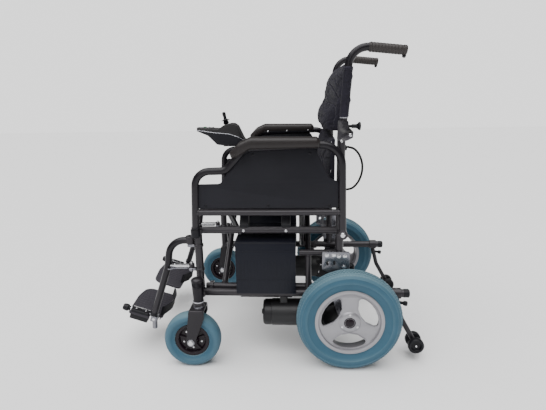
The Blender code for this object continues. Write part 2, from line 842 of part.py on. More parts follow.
def gear_motor(label, side):
    """Motor can along the frame, and the right-angle gearbox that turns the wheel."""
    y = side * MOTOR_Y
    can_end = GEARBOX_X - 0.036
    can = lathe(
        [
            (0, can_end + 0.01),
            (MOTOR_R, can_end + 0.01),
            (MOTOR_R, MOTOR_FRONT_X + 0.030),
            (MOTOR_R - 0.0015, MOTOR_FRONT_X + 0.028),
            (MOTOR_R - 0.0015, MOTOR_FRONT_X + 0.008),
            (MOTOR_R - 0.006, MOTOR_FRONT_X),
            (0, MOTOR_FRONT_X),
        ],
        along_x(0, y, MOTOR_Z),
        14,
    )
    outline = hull(((GEARBOX_X, MOTOR_Z), GEARBOX_R), ((0.0, TYRE_R), 0.030), 5)
    housing = plate(outline, 2 * GEARBOX_HALF - 0.004, upright(side * (MOTOR_Y - 0.002)))
    cover = disc(GEARBOX_R - 0.006, 0, GEARBOX_HALF, outward(GEARBOX_X, y, MOTOR_Z, side), 12)
    neck = slab(
        (can_end - 0.006, MOTOR_Y - 0.034, MOTOR_Z - 0.036),
        (GEARBOX_X, MOTOR_Y + 0.034, MOTOR_Z + 0.036),
        side,
    )
    tab = slab((-0.211, MOTOR_Y - 0.008, MOTOR_Z + 0.030), (-0.187, FRAME_Y - 0.004, TRAY_Z - GAP), side)
    ledge = slab(
        (-0.018, MOTOR_Y - 0.012, TYRE_R + 0.020),
        (CLUTCH_X + 0.006, MOTOR_Y + 0.016, TYRE_R + 0.036),
        side,
    )
    shape = join(can, housing, cover, neck, tab, ledge)
    shaft_bore = disc(bore(AXLE_R, 10), 0.012, GEARBOX_HALF + 0.03, outward(0, y, TYRE_R, side))
    slot = slab(
        (CLUTCH_X - 0.009, CLUTCH_Y - 0.0035, CLUTCH_Z - 0.008),
        (CLUTCH_X + 0.03, CLUTCH_Y + 0.0035, CLUTCH_Z + 0.02),
        side,
    )
    return piece(cut(shape, shaft_bore, slot), f"{label}_gear_motor", "motor_black")


def motor_plate(label, side):
    """The plate that bolts the gearbox to the frame, with its two slots, its bolts and the shaft's hole."""
    outline = rounded(
        [
            (-0.080, 0.358),
            (0.002, 0.358),
            (0.004, 0.290),
            (0.032, 0.190),
            (0.026, 0.136),
            (-0.026, 0.136),
            (-0.046, 0.200),
            (-0.056, 0.290),
            (-0.080, 0.300),
        ],
        [0.004, 0.004, 0.02, 0.02, 0.014, 0.014, 0.02, 0.01, 0.006],
        1,
    )
    slots = []
    for x, low in ((-0.066, 0.3152), (-0.047, 0.3168)):
        left, right, high = x - 0.004, x + 0.004, low + 0.028
        slots.append(rounded([(left, low), (right, low), (right, high), (left, high)], 0.0035, 1))
    hole = circle(0, TYRE_R, 0.012, 12)
    shape = plate(outline, PLATE_THICK, upright(side * PLATE_Y), [*slots, hole])
    bolts = [
        disc(0.0065, 0, 0.0065, outward(x, side * PLATE_Y, z, side), 6)
        for x, z in ((-0.030, 0.344), (-0.012, 0.344), (-0.014, 0.310), (-0.034, 0.252), (0.012, 0.212))
    ]
    return piece(join(shape, *bolts), f"{label}_motor_plate", "zinc")


def clutch_lever(label, side):
    """The knobbed lever that frees the wheel from its motor."""
    shape = lathe(
        [
            (0, 0.304),
            (0.009, 0.302),
            (0.011, 0.296),
            (0.011, 0.286),
            (0.008, 0.279),
            (0.0042, 0.277),
            (0.0042, CLUTCH_Z + 0.006),
            (0, CLUTCH_Z + 0.006),
        ],
        standing(CLUTCH_X, side * CLUTCH_Y, 0),
        8,
    )
    foot = slab(
        (CLUTCH_X - 0.004, CLUTCH_Y - 0.003, CLUTCH_Z - 0.0065),
        (CLUTCH_X + 0.004, CLUTCH_Y + 0.003, CLUTCH_Z + 0.010),
        side,
    )
    return piece(join(shape, foot), f"{label}_clutch_lever", "black_plastic")


def battery_box(label, side):
    """A ribbed case with an overhanging lid, and the strap that hooks it to the side tube."""
    front, rear = BATTERY_X
    inner, outer = BATTERY_Y
    low = TRAY_Z + TRAY_THICK + GAP
    case = slab((front + 0.003, inner + 0.002, low), (rear - 0.003, outer - 0.002, 0.346), side, 0.004)
    lid = slab((front, inner, 0.342), (rear, outer, BATTERY_TOP_Z), side, 0.006)
    count = 8
    pitch = (rear - front - 0.030) / (count - 1)
    ribs = []
    for i in range(count):
        x = front + 0.015 + i * pitch
        ribs.append(slab((x - 0.0015, outer - 0.006, low + 0.012), (x + 0.0015, outer, 0.338), side))
    handle = slab(
        (front + 0.045, inner + 0.034, BATTERY_TOP_Z - 0.004),
        (rear - 0.045, inner + 0.046, BATTERY_TOP_Z + 0.008),
        side,
    )
    place = Matrix.Translation((front + 0.014, side * (outer - 0.008), BATTERY_TOP_Z - 0.008))
    lean = Matrix.Rotation(math.radians(-34 * side), 4, "X")
    strap = block((-0.010, -0.0015, 0), (0.010, 0.0015, 0.052), matrix=place @ lean)
    return piece(join(case, lid, *ribs, handle, strap), f"{label}_battery_box", "battery_black")


# Armrests


def arm_path(side):
    """Centre line of the armrest's bent tube, from its front leg to its rear leg."""
    corners = [
        (ARM_FRONT_X, ARM_FOOT_Z + GAP),
        (ARM_FRONT_X + 0.009, ARM_STEP_Z - 0.001),
        (ARM_FRONT_X + 0.099, ARM_STEP_Z + 0.001),
        (ARM_FRONT_X + 0.157, ARM_TOP_Z - 0.005),
        (ARM_PIVOT_X - 0.006, ARM_TOP_Z + 0.005),
        (ARM_PIVOT_X, ARM_PIVOT_Z + 0.008),
    ]
    flat = [(x, side * ARM_Y, z) for x, z in corners]
    return bent(flat, [0.045, 0.035, 0.040, 0.060])


def arm_tube(label, side):
    y = side * ARM_Y
    shape = tube(arm_path(side), ARM_R, ARM_SIDES)
    bar = tube([(ARM_FRONT_X + 0.003, y, ARM_BAR_Z), (ARM_PIVOT_X - 0.001, y, ARM_BAR_Z)], ARM_BAR_R)
    eye = disc(0.0145, -0.0113, 0.0113, outward(ARM_PIVOT_X, y, ARM_PIVOT_Z, side), 12)
    hole = disc(bore(ARM_BOLT_R, 8), -0.03, 0.03, outward(ARM_PIVOT_X, y, ARM_PIVOT_Z, side), 8)
    return piece(cut(join(shape, bar, eye), hole), f"{label}_armrest_tube", "frame_black")


def arm_pad(label, side):
    """The moulded pad, which is grooved below for the tube and slopes down at its front."""
    step, top = ARM_STEP_Z, ARM_TOP_Z
    outline = rounded(
        [
            (-0.352, step + 0.056),
            (-0.318, step + 0.087),
            (-0.285, top + 0.0285),
            (-0.098, top + 0.0265),
            (-0.090, top + 0.016),
            (-0.092, top - 0.008),
            (-0.290, top - 0.010),
            (-0.322, step + 0.041),
            (-0.346, step + 0.039),
        ],
        [0.006, 0.02, 0.02, 0.008, 0.004, 0.006, 0.02, 0.01, 0.006],
        2,
    )
    middle = PAD_INNER_Y + PAD_WIDTH / 2
    shape = plate(outline, PAD_WIDTH, upright(side * middle))
    round_edges = shape.modifiers.new("Soft edges", "BEVEL")
    round_edges.width = 0.007
    round_edges.segments = 1
    round_edges.limit_method = "ANGLE"
    round_edges.angle_limit = math.radians(60)
    groove = tube(arm_path(side), ARM_R + GAP, ARM_SIDES)
    return piece(cut(shape, groove), f"{label}_armrest_pad", "pad_brown")


def skirt_panel(label, side):
    """The clothes guard that fills the armrest's loop."""
    low = ARM_BAR_Z + ARM_BAR_R + GAP + 0.0005
    step, top = ARM_STEP_Z, ARM_TOP_Z
    outline = rounded(
        [
            (-0.4425, low),
            (-0.4415, step - 0.044),
            (-0.376, step - 0.043),
            (-0.354, step - 0.018),
            (-0.326, step + 0.017),
            (-0.297, top - 0.024),
            (-0.102, top - 0.020),
            (-0.061, step - 0.020),
            (-0.039, step - 0.034),
            (-0.039, low),
        ],
        [0.004, 0.006, 0.015, 0.02, 0.02, 0.012, 0.02, 0.02, 0.008, 0.004],
        2,
    )
    shape = plate(outline, SKIRT_THICK, upright(side * ARM_Y))
    return piece(shape, f"{label}_skirt_panel", "skirt_grey")


# Back


def cane_path(side):
    """Centre line of the upper back cane, which leans back a little and bends into the handle."""
    y = side * FRAME_Y
    corners = [
        (CANE_X, y, CANE_LOW_Z),
        (CANE_X + CANE_LEAN, y, HANDLE_Z),
        (GRIP_REAR_X, y, HANDLE_Z - HANDLE_DROP),
    ]
    return bent(corners, [0.052], 5)


def handle_frame(side):
    """A place at the handle's front end whose own Z axis runs back along it."""
    corner = Vector((CANE_X + CANE_LEAN, side * FRAME_Y, HANDLE_Z))
    end = cane_path(side)[-1]
    along = (end - corner).normalized()
    start = corner + along * ((GRIP_FRONT_X - corner.x) / along.x)
    turn = along.to_track_quat("Z", "Y").to_matrix().to_4x4()
    return Matrix.Translation(start) @ turn, (end - start).length


def upper_cane(label, side):
    y = side * FRAME_Y
    path = cane_path(side)
    frame, length = handle_frame(side)
    path[-1] = frame @ Vector((0, 0, length - 0.0045))
    shape = tube(path, CANE_R)
    top = [(-0.030, 0.010), (-0.010, 0.0105), (0.0035, 0.006)]
    under = [(0.004, -0.006), (-0.009, -0.007), (-0.0115, 0.0075), (-0.030, 0.0075)]
    outline = [(x, BACK_HINGE_Z + z) for x, z in top + under]
    ear = plate(rounded(outline, 0.002, 1), 0.014, upright(y))
    hole = disc(bore(BACK_PIN_R, 8), -0.03, 0.03, outward(BACK_HINGE_X, y, BACK_HINGE_Z, side), 8)
    relief = disc(bore(KNOB_PIN_R, 8), CANE_X, CANE_X + 0.03, along_x(0, y, KNOB_Z), 8)
    return piece(cut(join(shape, ear), hole, relief), f"{label}_upper_cane", "frame_black")


def release_knob(label, side):
    """The sprung knob that unlocks the back's hinge."""
    shape = lathe(
        [
            (0, 0.026),
            (0.010, 0.025),
            (0.012, 0.021),
            (0.011, 0.017),
            (0.006, 0.013),
            (0.006, 0.0),
            (KNOB_PIN_R, -0.001),
            (KNOB_PIN_R, CANE_X + 0.004),
            (0, CANE_X + 0.004),
        ],
        along_x(0, side * FRAME_Y, KNOB_Z),
        8,
    )
    return piece(shape, f"{label}_back_release_knob", "black_plastic")


def push_grip(label, side):
    """The ribbed rubber grip, closed at its end, with a flange at each end."""
    frame, length = handle_frame(side)
    steps = 10
    hole, r = bore(CANE_R, steps, GAP), GRIP_R
    profile = [(0, length), (r - 0.003, length), (r + 0.0008, length - 0.003), (r + 0.0008, length - 0.008)]
    ribs = 4
    for i in range(ribs):
        at = length - 0.014 - i * (length - 0.028) / (ribs - 1)
        profile += [(r - 0.0012, at + 0.002), (r - 0.0002, at - 0.002)]
    profile += [(r + 0.0005, 0.004), (r + 0.0005, 0), (hole, 0), (hole, length - 0.004), (0, length - 0.004)]
    return piece(lathe(profile, frame, steps), f"{label}_push_grip", "grip_rubber")


# Leg rests


def hanger_path(side):
    y = side * FRAME_Y
    corners = [
        (HANGER_X, y, HANGER_Z),
        (KNEE_X, y, HANGER_Z),
        (SHIN_X, y, SHIN_Z),
        (ANKLE_X, y, ANKLE_Z),
    ]
    return bent(corners, [0.045, 0.10])


def hanger_tube(label, side):
    """The swing-away tube with its knuckles, the narrower foot tube and the clamp for the footplate's rod."""
    y = side * FRAME_Y
    path = hanger_path(side)
    shape = tube(path, HANGER_R)
    knuckle = disc(KNUCKLE_R + 0.0015, HANGER_Z - KNUCKLE_R, HANGER_Z + 0.013, standing(HANGER_X, y, 0))
    low_knuckle = disc(KNUCKLE_R - 0.002, BRACKET_Z - 0.006, BRACKET_Z + 0.006, standing(HANGER_X, y, 0))
    bar = slab(
        (SHIN_X, FRAME_Y - 0.007, BRACKET_Z - 0.004),
        (HANGER_X, FRAME_Y + 0.007, BRACKET_Z + 0.004),
        side,
    )
    foot = tube([(ANKLE_X + 0.006, y, ANKLE_Z + 0.020), (ANKLE_X + 0.003, y, 0.085)], 0.0085)
    clamp = foot_slab((0.074, -0.0245, -0.0095), (0.094, 0, 0.0095), side)
    collar = disc(0.0105, 0.0735, 0.0945, foot_frame(side) @ along_x(0, 0, 0))
    shape = join(shape, knuckle, low_knuckle, bar, foot, clamp, collar)
    pin = disc(bore(HANGER_PIN_R, 8), BRACKET_Z - 0.03, HANGER_Z + 0.009, standing(HANGER_X, y, 0), 8)
    rod = disc(bore(ROD_R, 8), 0.05, 0.0905, foot_frame(side) @ along_x(0, 0, 0), 8)
    stud = disc(bore(STUD_R, 8), BRACKET_Z - 0.01, BRACKET_Z + 0.001, standing(LATCH_X, y, 0), 8)
    return piece(cut(shape, pin, rod, stud), f"{label}_hanger_tube", "frame_black")


def hanger_latch(label, side):
    """The flat lever under the hanger's bar, whose end bears on the post's ear to hold the leg rest."""
    low, high = BRACKET_Z - 0.0095, BRACKET_Z - 0.0045
    bar = [(-0.070, -0.007), (-0.0115, -0.0065), (-0.0115, 0.0065), (-0.050, 0.008)]
    thumb = [(-0.068, 0.019), (-0.074, 0.014)]
    outline = rounded(bar + thumb, [0.005, 0.002, 0.002, 0.004, 0.003, 0.003], 1)
    outline = [(x, side * y) for x, y in outline]
    shape = plate(outline, high - low, standing(HANGER_X, side * FRAME_Y, (low + high) / 2))
    stud = disc(STUD_R, low + 0.001, BRACKET_Z, standing(LATCH_X, side * FRAME_Y, 0), 8)
    return piece(join(shape, stud), f"{label}_hanger_latch", "zinc")


def foot_frame(side):
    """The footplate's own place: X back along its hinge rod, Z square to the plate."""
    return Matrix.Translation((FOOT_X, side * ROD_Y, FOOT_Z)) @ Matrix.Rotation(FOOT_TILT, 4, "Y")


def foot_slab(low, high, side):
    """A box in the footplate's own place, whose Y values are distances inwards from the hinge rod."""
    ys = sorted((-side * low[1], -side * high[1]))
    return block((low[0], ys[0], low[2]), (high[0], ys[1], high[2]), matrix=foot_frame(side))


def footplate_rod(label, side):
    """The rod that the footplate turns on, with a rubber knob at its front end."""
    nose = 0.009
    front = -(FRONT_REACH + FOOT_X - nose * math.sin(FOOT_TILT)) / math.cos(FOOT_TILT)
    shape = lathe(
        [
            (0, 0.090),
            (ROD_R, 0.090),
            (ROD_R, -0.002),
            (0.0085, -0.0025),
            (0.0085, -0.0065),
            (0.0105, -0.007),
            (0.0115, -0.010),
            (0.0115, front + 0.003),
            (nose, front),
            (0, front),
        ],
        foot_frame(side) @ along_x(0, 0, 0),
        10,
    )
    return piece(shape, f"{label}_footplate_rod", "frame_black")


def footplate(label, side):
    """The tilted tread plate, its hinge block along the outer edge and its stiffening ribs below."""
    length, width = FOOT_LENGTH, FOOT_WIDTH
    top = -FOOT_DROP
    low = top - FOOT_THICK
    tread = [(0.001, -0.014), (0.001, width * 0.55), (0.024, width), (length, width), (length, 0.012)]
    notch = [(0.066, 0.012), (0.066, -0.014)]
    outline = rounded(tread + notch, [0.006, 0.08, 0.022, 0.014, 0.006, 0.003, 0.003], 2)
    place = foot_frame(side)
    shape = plate([(x, -side * y) for x, y in outline], FOOT_THICK, place @ standing(0, 0, (low + top) / 2))
    hinge = foot_slab((0.004, -0.0135, -HINGE_BLOCK), (0.064, 0.014, 0.0075), side)
    ribs = [
        foot_slab((x, start, low - 0.009), (x + 0.005, width - end, top - 0.003), side)
        for x, start, end in ((0.012, 0.010, 0.030), (0.056, 0.010, 0.016), (0.093, 0.022, 0.010))
    ]
    spine = foot_slab((0.014, width * 0.5, low - 0.006), (0.095, width * 0.5 + 0.005, top - 0.004), side)
    shape = join(shape, hinge, *ribs, spine)
    hole = disc(bore(ROD_R, 8), -0.02, 0.13, place @ along_x(0, 0, 0), 8)
    return piece(cut(shape, hole), f"{label}_footplate", "footplate_grey")


def heel_loop(label, side):
    """The strap that stops the heel, standing on the footplate's rear corners and bowed back between them."""
    inner = -side
    ends = (0.014, FOOT_WIDTH - 0.010)
    base = FOOT_LENGTH - 0.010
    steps = 12
    outer_edge, inner_edge = [], []
    for i in range(steps + 1):
        share = i / steps
        across = ends[0] + (ends[1] - ends[0]) * share
        bow = base + (STRAP_BULGE + 0.010) * math.sin(math.pi * share) ** 0.7
        outer_edge.append((bow + STRAP_THICK, inner * across))
        inner_edge.append((bow, inner * across))
    low = GAP - FOOT_DROP
    shape = plate(
        outer_edge + inner_edge[::-1], STRAP_HEIGHT, foot_frame(side) @ standing(0, 0, low + STRAP_HEIGHT / 2)
    )
    return piece(shape, f"{label}_heel_loop", "nylon")


# Anti-tip arms


def anti_tip_arm(label, side):
    """The leg that clips round the frame's rear stub and ends in an eye for the rollers' axle."""
    y = side * FRAME_Y
    wheel_x = REAR_REACH - TIP_WHEEL_R
    corners = [(TIP_X, y, LOWER_Z - 0.010), (TIP_X + 0.018, y, 0.134), (wheel_x, y, TIP_WHEEL_Z)]
    leg = tube(corners, TIP_R)
    collar = disc(FRAME_R + 0.0045, TIP_X - 0.014, TIP_X + 0.014, along_x(0, y, LOWER_Z), 12)
    knob = lathe(
        [(0, 0.030), (0.006, 0.028), (0.006, 0.021), (0.004, 0.020), (0.004, 0.0), (0, 0.0)],
        Matrix.Translation((TIP_X + 0.004, y, LOWER_Z - 0.030)) @ Matrix.Rotation(math.radians(100), 4, "Y"),
        8,
    )
    eye = disc(TIP_R + 0.003, -TIP_R - 0.0006, TIP_R + 0.0006, outward(wheel_x, y, TIP_WHEEL_Z, side))
    sleeve = disc(bore(FRAME_R, 12), TIP_X - 0.05, TIP_X + 0.05, along_x(0, y, LOWER_Z), 12)
    hole = disc(bore(TIP_AXLE_R, 8), -0.03, 0.03, outward(wheel_x, y, TIP_WHEEL_Z, side), 8)
    return piece(cut(join(leg, collar, knob, eye), sleeve, hole), f"{label}_anti_tip_arm", "frame_black")


def anti_tip_wheels(label, side):
    """Twin rollers on the one axle, which turns in the arm's eye."""
    place = outward(REAR_REACH - TIP_WHEEL_R, side * FRAME_Y, TIP_WHEEL_Z, side)
    near, far = TIP_TRACK - TIP_WHEEL_HALF, TIP_TRACK + TIP_WHEEL_HALF
    r = TIP_WHEEL_R
    half = [
        (0, far),
        (r - 0.003, far),
        (r, far - 0.004),
        (r, near + 0.004),
        (r - 0.003, near),
        (TIP_AXLE_R, near),
    ]
    profile = half + [(radius, -height) for radius, height in reversed(half)]
    shape = lathe(profile, rolling(place, TIP_STEPS), TIP_STEPS)
    return piece(shape, f"{label}_anti_tip_wheels", "black_plastic")


# Upholstery


def seat_upholstery():
    """The padded sling between the seat rails, crowned above, slack below and stitched in channels."""
    front = RAIL_FRONT_X
    middle, half = (front + SEAT_REAR_X) / 2, (SEAT_REAR_X - front) / 2
    base = RAIL_Z + CROSS_TUBE_R + GAP
    seams = (-0.5, 0.0, 0.5)

    def place(u, v, w):
        sag = max(0.0, 1 - (v / 0.72) ** 2) ** 0.6
        if w < 0:
            return (middle + u * half, v * SEAT_HALF, base - SEAT_SAG * sag)
        crown = SEAT_CROWN * (1 - u**6) * (1 - v**4)
        channel = 0.006 * max(max(0.0, 1 - abs(u - seam) / 0.09) for seam in seams) * (1 - v**8)
        return (middle + u * (half - 0.004), v * (SEAT_HALF - 0.004), base + SEAT_EDGE + crown - channel)

    return piece(moulded((16, 10, 1), place), "seat_upholstery", "nylon")


def cane_x(z):
    """Where the upper cane's centre line stands at a height."""
    return CANE_X + CANE_LEAN * (z - CANE_LOW_Z) / (HANDLE_Z - CANE_LOW_Z)


def bulge(share):
    for (low, a), (high, b) in zip(BACK_BULGE, BACK_BULGE[1:]):
        if share <= high:
            return a + (b - a) * max(0.0, share - low) / (high - low)
    return BACK_BULGE[-1][1]


def back_upper():
    """The upper back pad, in two rolls with upright seams, with a sleeve round each cane."""
    low, high = BACK_SPLIT_Z + BACK_SPLIT_GAP / 2, BACK_TOP_Z
    half = FRAME_Y - 0.0105

    def place(u, v, w):
        z = low + (high - low) * (w + 1) / 2
        if u > 0:
            return (cane_x(z) + 0.005, v * half, z)
        seam = max(0.0, 1 - abs(abs(v) - 0.375) / 0.13)
        deep = bulge((w + 1) / 2) * (1 - v**8) * (1 - 0.16 * seam)
        return (cane_x(z) - 0.006 - deep, v * half, z)

    shape = moulded((1, 16, 10), place)
    foot = BRACKET_TOP_Z + 0.004
    for side in SIDES.values():
        y = side * FRAME_Y
        run = [(cane_x(foot), y, foot), (cane_x(SLEEVE_TOP_Z), y, SLEEVE_TOP_Z)]
        hole = [(cane_x(z), y, z) for z in (foot - 0.02, HANDLE_Z)]
        join(shape, tube(run, SLEEVE_R, 10))
        inner = FRAME_Y - CANE_R - 0.0008 - CHEEK_THICK - 0.0012
        corner = slab((-0.12, inner, low - 0.02), (0.05, FRAME_Y + 0.03, foot - 0.0005), side)
        cut(shape, tube(hole, bore(CANE_R, 12, GAP), 12), corner)
    return piece(shape, "back_upholstery_upper", "nylon")


def back_lower():
    """The lower back pad, screwed to the front of the rear posts."""
    low, high = BACK_LOW_Z, BACK_SPLIT_Z - BACK_SPLIT_GAP / 2
    front, rear = BACK_LOW_X

    def place(u, v, w):
        z = low + (high - low) * (w + 1) / 2
        if u > 0:
            return (rear, v * BACK_LOW_HALF, z)
        seam = max(0.0, 1 - abs(abs(v) - 0.375) / 0.13)
        deep = (rear - front - 0.010) * (1 - v**8) * (1 - w**8) * (1 - 0.16 * seam)
        return (rear - 0.010 - deep, v * (BACK_LOW_HALF - 0.003), z - 0.003 * w)

    return piece(moulded((1, 16, 8), place), "back_upholstery_lower", "nylon")


def cable_loop():
    """The lead between its two clips on the left rear post."""
    ends = [Vector((CLIP_X + GAP, -CORD_Y, z)) for z in (CORD_TOP_Z, CORD_FOOT_Z)]
    straight = Vector((2 * CORD_R, 0, 0))
    route = [Vector((x, -CORD_Y, z)) for x, z in CORD_ROUTE]
    knots = [ends[0], ends[0] + straight, *route, ends[1] + straight, ends[1]]
    points = [ends[0]]
    for a, b, c, d in zip(knots, knots[1:], knots[2:], knots[3:]):
        for share in (0.0, 0.5):
            points.append(
                b
                + (c - a) * share / 2
                + (2 * a - 5 * b + 4 * c - d) * share**2 / 2
                + (3 * b - a - 3 * c + d) * share**3 / 2
            )
    points += knots[-2:]
    return piece(tube(points, CORD_R), "cable_loop", "cord_black")


# Controller


def control_plan(low, high):
    """The controller seen from above, as a prism between two heights."""
    half = CONTROL_WIDTH / 2
    outline = rounded(
        [(-0.557, -0.022), (-0.520, -half), (-0.371, -half), (-0.371, half), (-0.520, half), (-0.557, 0.022)],
        [0.012, 0.030, 0.012, 0.012, 0.030, 0.012],
        2,
    )
    return plate(outline, high - low, standing(0, CONTROL_Y, (low + high) / 2))


def control_seam(offset):
    """The line between the lower case and the cover, from the nose back to the tail."""
    line = [(-0.560, 0.0608), (-0.489, 0.0515), (-0.424, 0.0450), (-0.388, 0.0320), (-0.366, 0.0180)]
    return [(x, CONTROL_FOOT_Z + z + offset) for x, z in line]


def controller_bracket():
    """The clamp on the right armrest's tube, and the plate that the controller is screwed to."""
    clamp = block(
        (CLAMP_X[0], ARM_Y - ARM_R - 0.005, ARM_STEP_Z - ARM_R - 0.005),
        (CLAMP_X[1], ARM_Y + ARM_R + 0.005, CONTROL_FOOT_Z - GAP - 0.001),
        0.002,
    )
    top = CONTROL_FOOT_Z - GAP
    shelf = block((-0.452, CONTROL_Y - 0.027, top - 0.004), (-0.385, CONTROL_Y + 0.020, top))
    groove = tube(arm_path(1), ARM_R + GAP, ARM_SIDES)
    return piece(cut(join(clamp, shelf), groove), "controller_bracket", "black_plastic")


def controller_housing():
    """The lower case, which tapers from its foot on the bracket forward to the nose."""
    under = [
        (-0.376, 0.017),
        (-0.397, 0.0),
        (-0.452, 0.0),
        (-0.478, 0.004),
        (-0.491, 0.018),
        (-0.512, 0.039),
        (-0.558, 0.056),
    ]
    under = [(x, CONTROL_FOOT_Z + z) for x, z in under]
    shape = plate(control_seam(-GAP / 2) + under, CONTROL_WIDTH + 0.01, upright(CONTROL_Y))
    plan = control_plan(CONTROL_FOOT_Z - 0.025, CONTROL_FOOT_Z + 0.095)
    return piece(trim(shape, plan), "controller_housing", "control_grey")


def controller_panel():
    """The cover, flat over the nose and humped round the joystick, with a well for each thing that moves."""
    top = [
        (-0.373, 0.031),
        (-0.3845, 0.055),
        (-0.3935, 0.075),
        (-0.4080, 0.0850),
        (-0.4240, 0.0860),
        (-0.4500, 0.0790),
        (-0.4690, 0.0655),
        (-0.5130, 0.0685),
        (-0.5590, 0.0712),
    ]
    top = [(x, CONTROL_FOOT_Z + z) for x, z in top]
    shape = plate(control_seam(GAP / 2) + top, CONTROL_WIDTH + 0.01, upright(CONTROL_Y))
    above = CONTROL_FOOT_Z + 0.105
    trim(shape, control_plan(CONTROL_FOOT_Z - 0.025, above))
    wall, floor = bore(BALL_R, 14), -BALL_R - 0.0003
    dish = [(0, 0.018), (wall + 0.010, 0.018), (wall, 0.0045), (wall, floor), (0, floor)]
    well = lathe(dish, standing(STICK_X, CONTROL_Y, STICK_Z), 14)
    trunnion = disc(bore(TRUNNION_R, 8), -0.0225, 0.0225, outward(STICK_X, CONTROL_Y, STICK_Z, 1), 8)
    floor = BUTTON_TOP_Z - 0.0095
    bores = [
        disc(bore(BUTTON_R, 10), floor, above, standing(BUTTON_X, CONTROL_Y + k * BUTTON_SPREAD, 0))
        for k in (-1, 1)
    ]
    pocket = block(
        (ROCKER_X - 0.0105, CONTROL_Y - 0.0065, floor - 0.0005),
        (ROCKER_X + 0.0105, CONTROL_Y + 0.0065, above),
    )
    return piece(cut(shape, well, trunnion, *bores, pocket), "controller_panel", "control_grey")


def joystick_gimbal():
    """The ball that tilts fore and aft on its trunnions, slotted across for the stick."""
    steps = 5
    profile = []
    for i in range(steps + 1):
        turn = math.pi * i / steps
        profile.append((BALL_R * math.sin(turn), BALL_R * math.cos(turn)))
    ball = lathe(profile, standing(STICK_X, CONTROL_Y, STICK_Z), 12)
    trunnion = disc(TRUNNION_R, -0.0215, 0.0215, outward(STICK_X, CONTROL_Y, STICK_Z, 1), 8)
    lean = stick_frame()
    slot = block((-STICK_R - 0.0006, -0.0105, -0.0055), (STICK_R + 0.0006, 0.0105, 0.03), matrix=lean)
    pin = disc(bore(STICK_PIN_R, 8), -0.0085, 0.0085, lean @ along_x(0, 0, 0), 8)
    return piece(cut(join(ball, trunnion), slot, pin), "joystick_gimbal", "black_plastic")


def stick_frame():
    """The joystick's own place, whose Z axis leans forward from the upright."""
    return standing(STICK_X, CONTROL_Y, STICK_Z) @ Matrix.Rotation(-STICK_LEAN, 4, "Y")


def joystick():
    """The stick with its cross pin, rubber bellows, flange and grip."""
    seat = BALL_R + 0.0006
    cup = [(seat * math.sin(math.radians(a)), seat * math.cos(math.radians(a))) for a in (40, 27, 13)]
    profile = [
        (0, 0.0628),
        (0.0045, 0.0624),
        (0.0068, 0.060),
        (0.0072, 0.054),
        (0.0060, 0.042),
        (0.0075, 0.034),
        (0.0165, 0.0305),
        (0.0165, 0.0285),
        (0.0095, 0.0265),
        (0.0125, 0.0190),
        (0.0125, 0.0145),
        *cup,
        (STICK_R, seat),
        (STICK_R, -0.0035),
        (0, -0.0035),
    ]
    shape = lathe(profile, stick_frame(), 10)
    pin = disc(STICK_PIN_R, -0.0080, 0.0080, stick_frame() @ along_x(0, 0, 0), 8)
    return piece(join(shape, pin), "joystick", "black_plastic")


def button(name, across, finish):
    """A round push button, domed on top."""
    low = BUTTON_TOP_Z - 0.0075
    profile = [
        (0, BUTTON_TOP_Z),
        (BUTTON_R * 0.6, BUTTON_TOP_Z - 0.0004),
        (BUTTON_R, BUTTON_TOP_Z - 0.0015),
        (BUTTON_R, low),
        (0, low),
    ]
    return piece(lathe(profile, standing(BUTTON_X, CONTROL_Y + across, 0), 10), name, finish)


def speed_rocker():
    """The rocker that sets the speed, hollowed in its middle, on a spindle across the chair."""
    half = 0.0095
    outline = [
        (-half, BUTTON_TOP_Z - 0.0065),
        (half, BUTTON_TOP_Z - 0.0065),
        (half, BUTTON_TOP_Z),
        (half * 0.6, BUTTON_TOP_Z - 0.0005),
        (0, BUTTON_TOP_Z - 0.0016),
        (-half * 0.6, BUTTON_TOP_Z - 0.0005),
        (-half, BUTTON_TOP_Z),
    ]
    shape = plate([(ROCKER_X + x, z) for x, z in outline], 0.0118, upright(CONTROL_Y))
    return piece(shape, "speed_rocker", "black_plastic")


# Assembly


def empty(name, place, parent=None, over=Vector((0, 0, 0))):
    """An empty on a joint's axis. Both places are given from the rear axle."""
    made = bpy.data.objects.new(name, None)
    made.empty_display_size = 0.03
    made.location = Vector(place) - over
    made.parent = parent
    PARTS.objects.link(made)
    return made


class Chair:
    """The tree of moving groups: each has an empty on its joint's axis, which carries its pieces."""

    def __init__(self):
        self.root = empty("chair_origin", (AXLE_X, 0, 0))
        self.groups = {}

    def group(self, name, place, parent, pieces):
        carrier, over = self.groups[parent] if parent else (self.root, Vector((0, 0, 0)))
        place = Vector(place)
        pivot = empty(name, place, carrier, over)
        self.groups[name] = (pivot, place)
        for shape in pieces:
            shape.data.transform(Matrix.Translation(-place))
            shape.parent = pivot
            for tool in shape.children:
                tool.location -= place


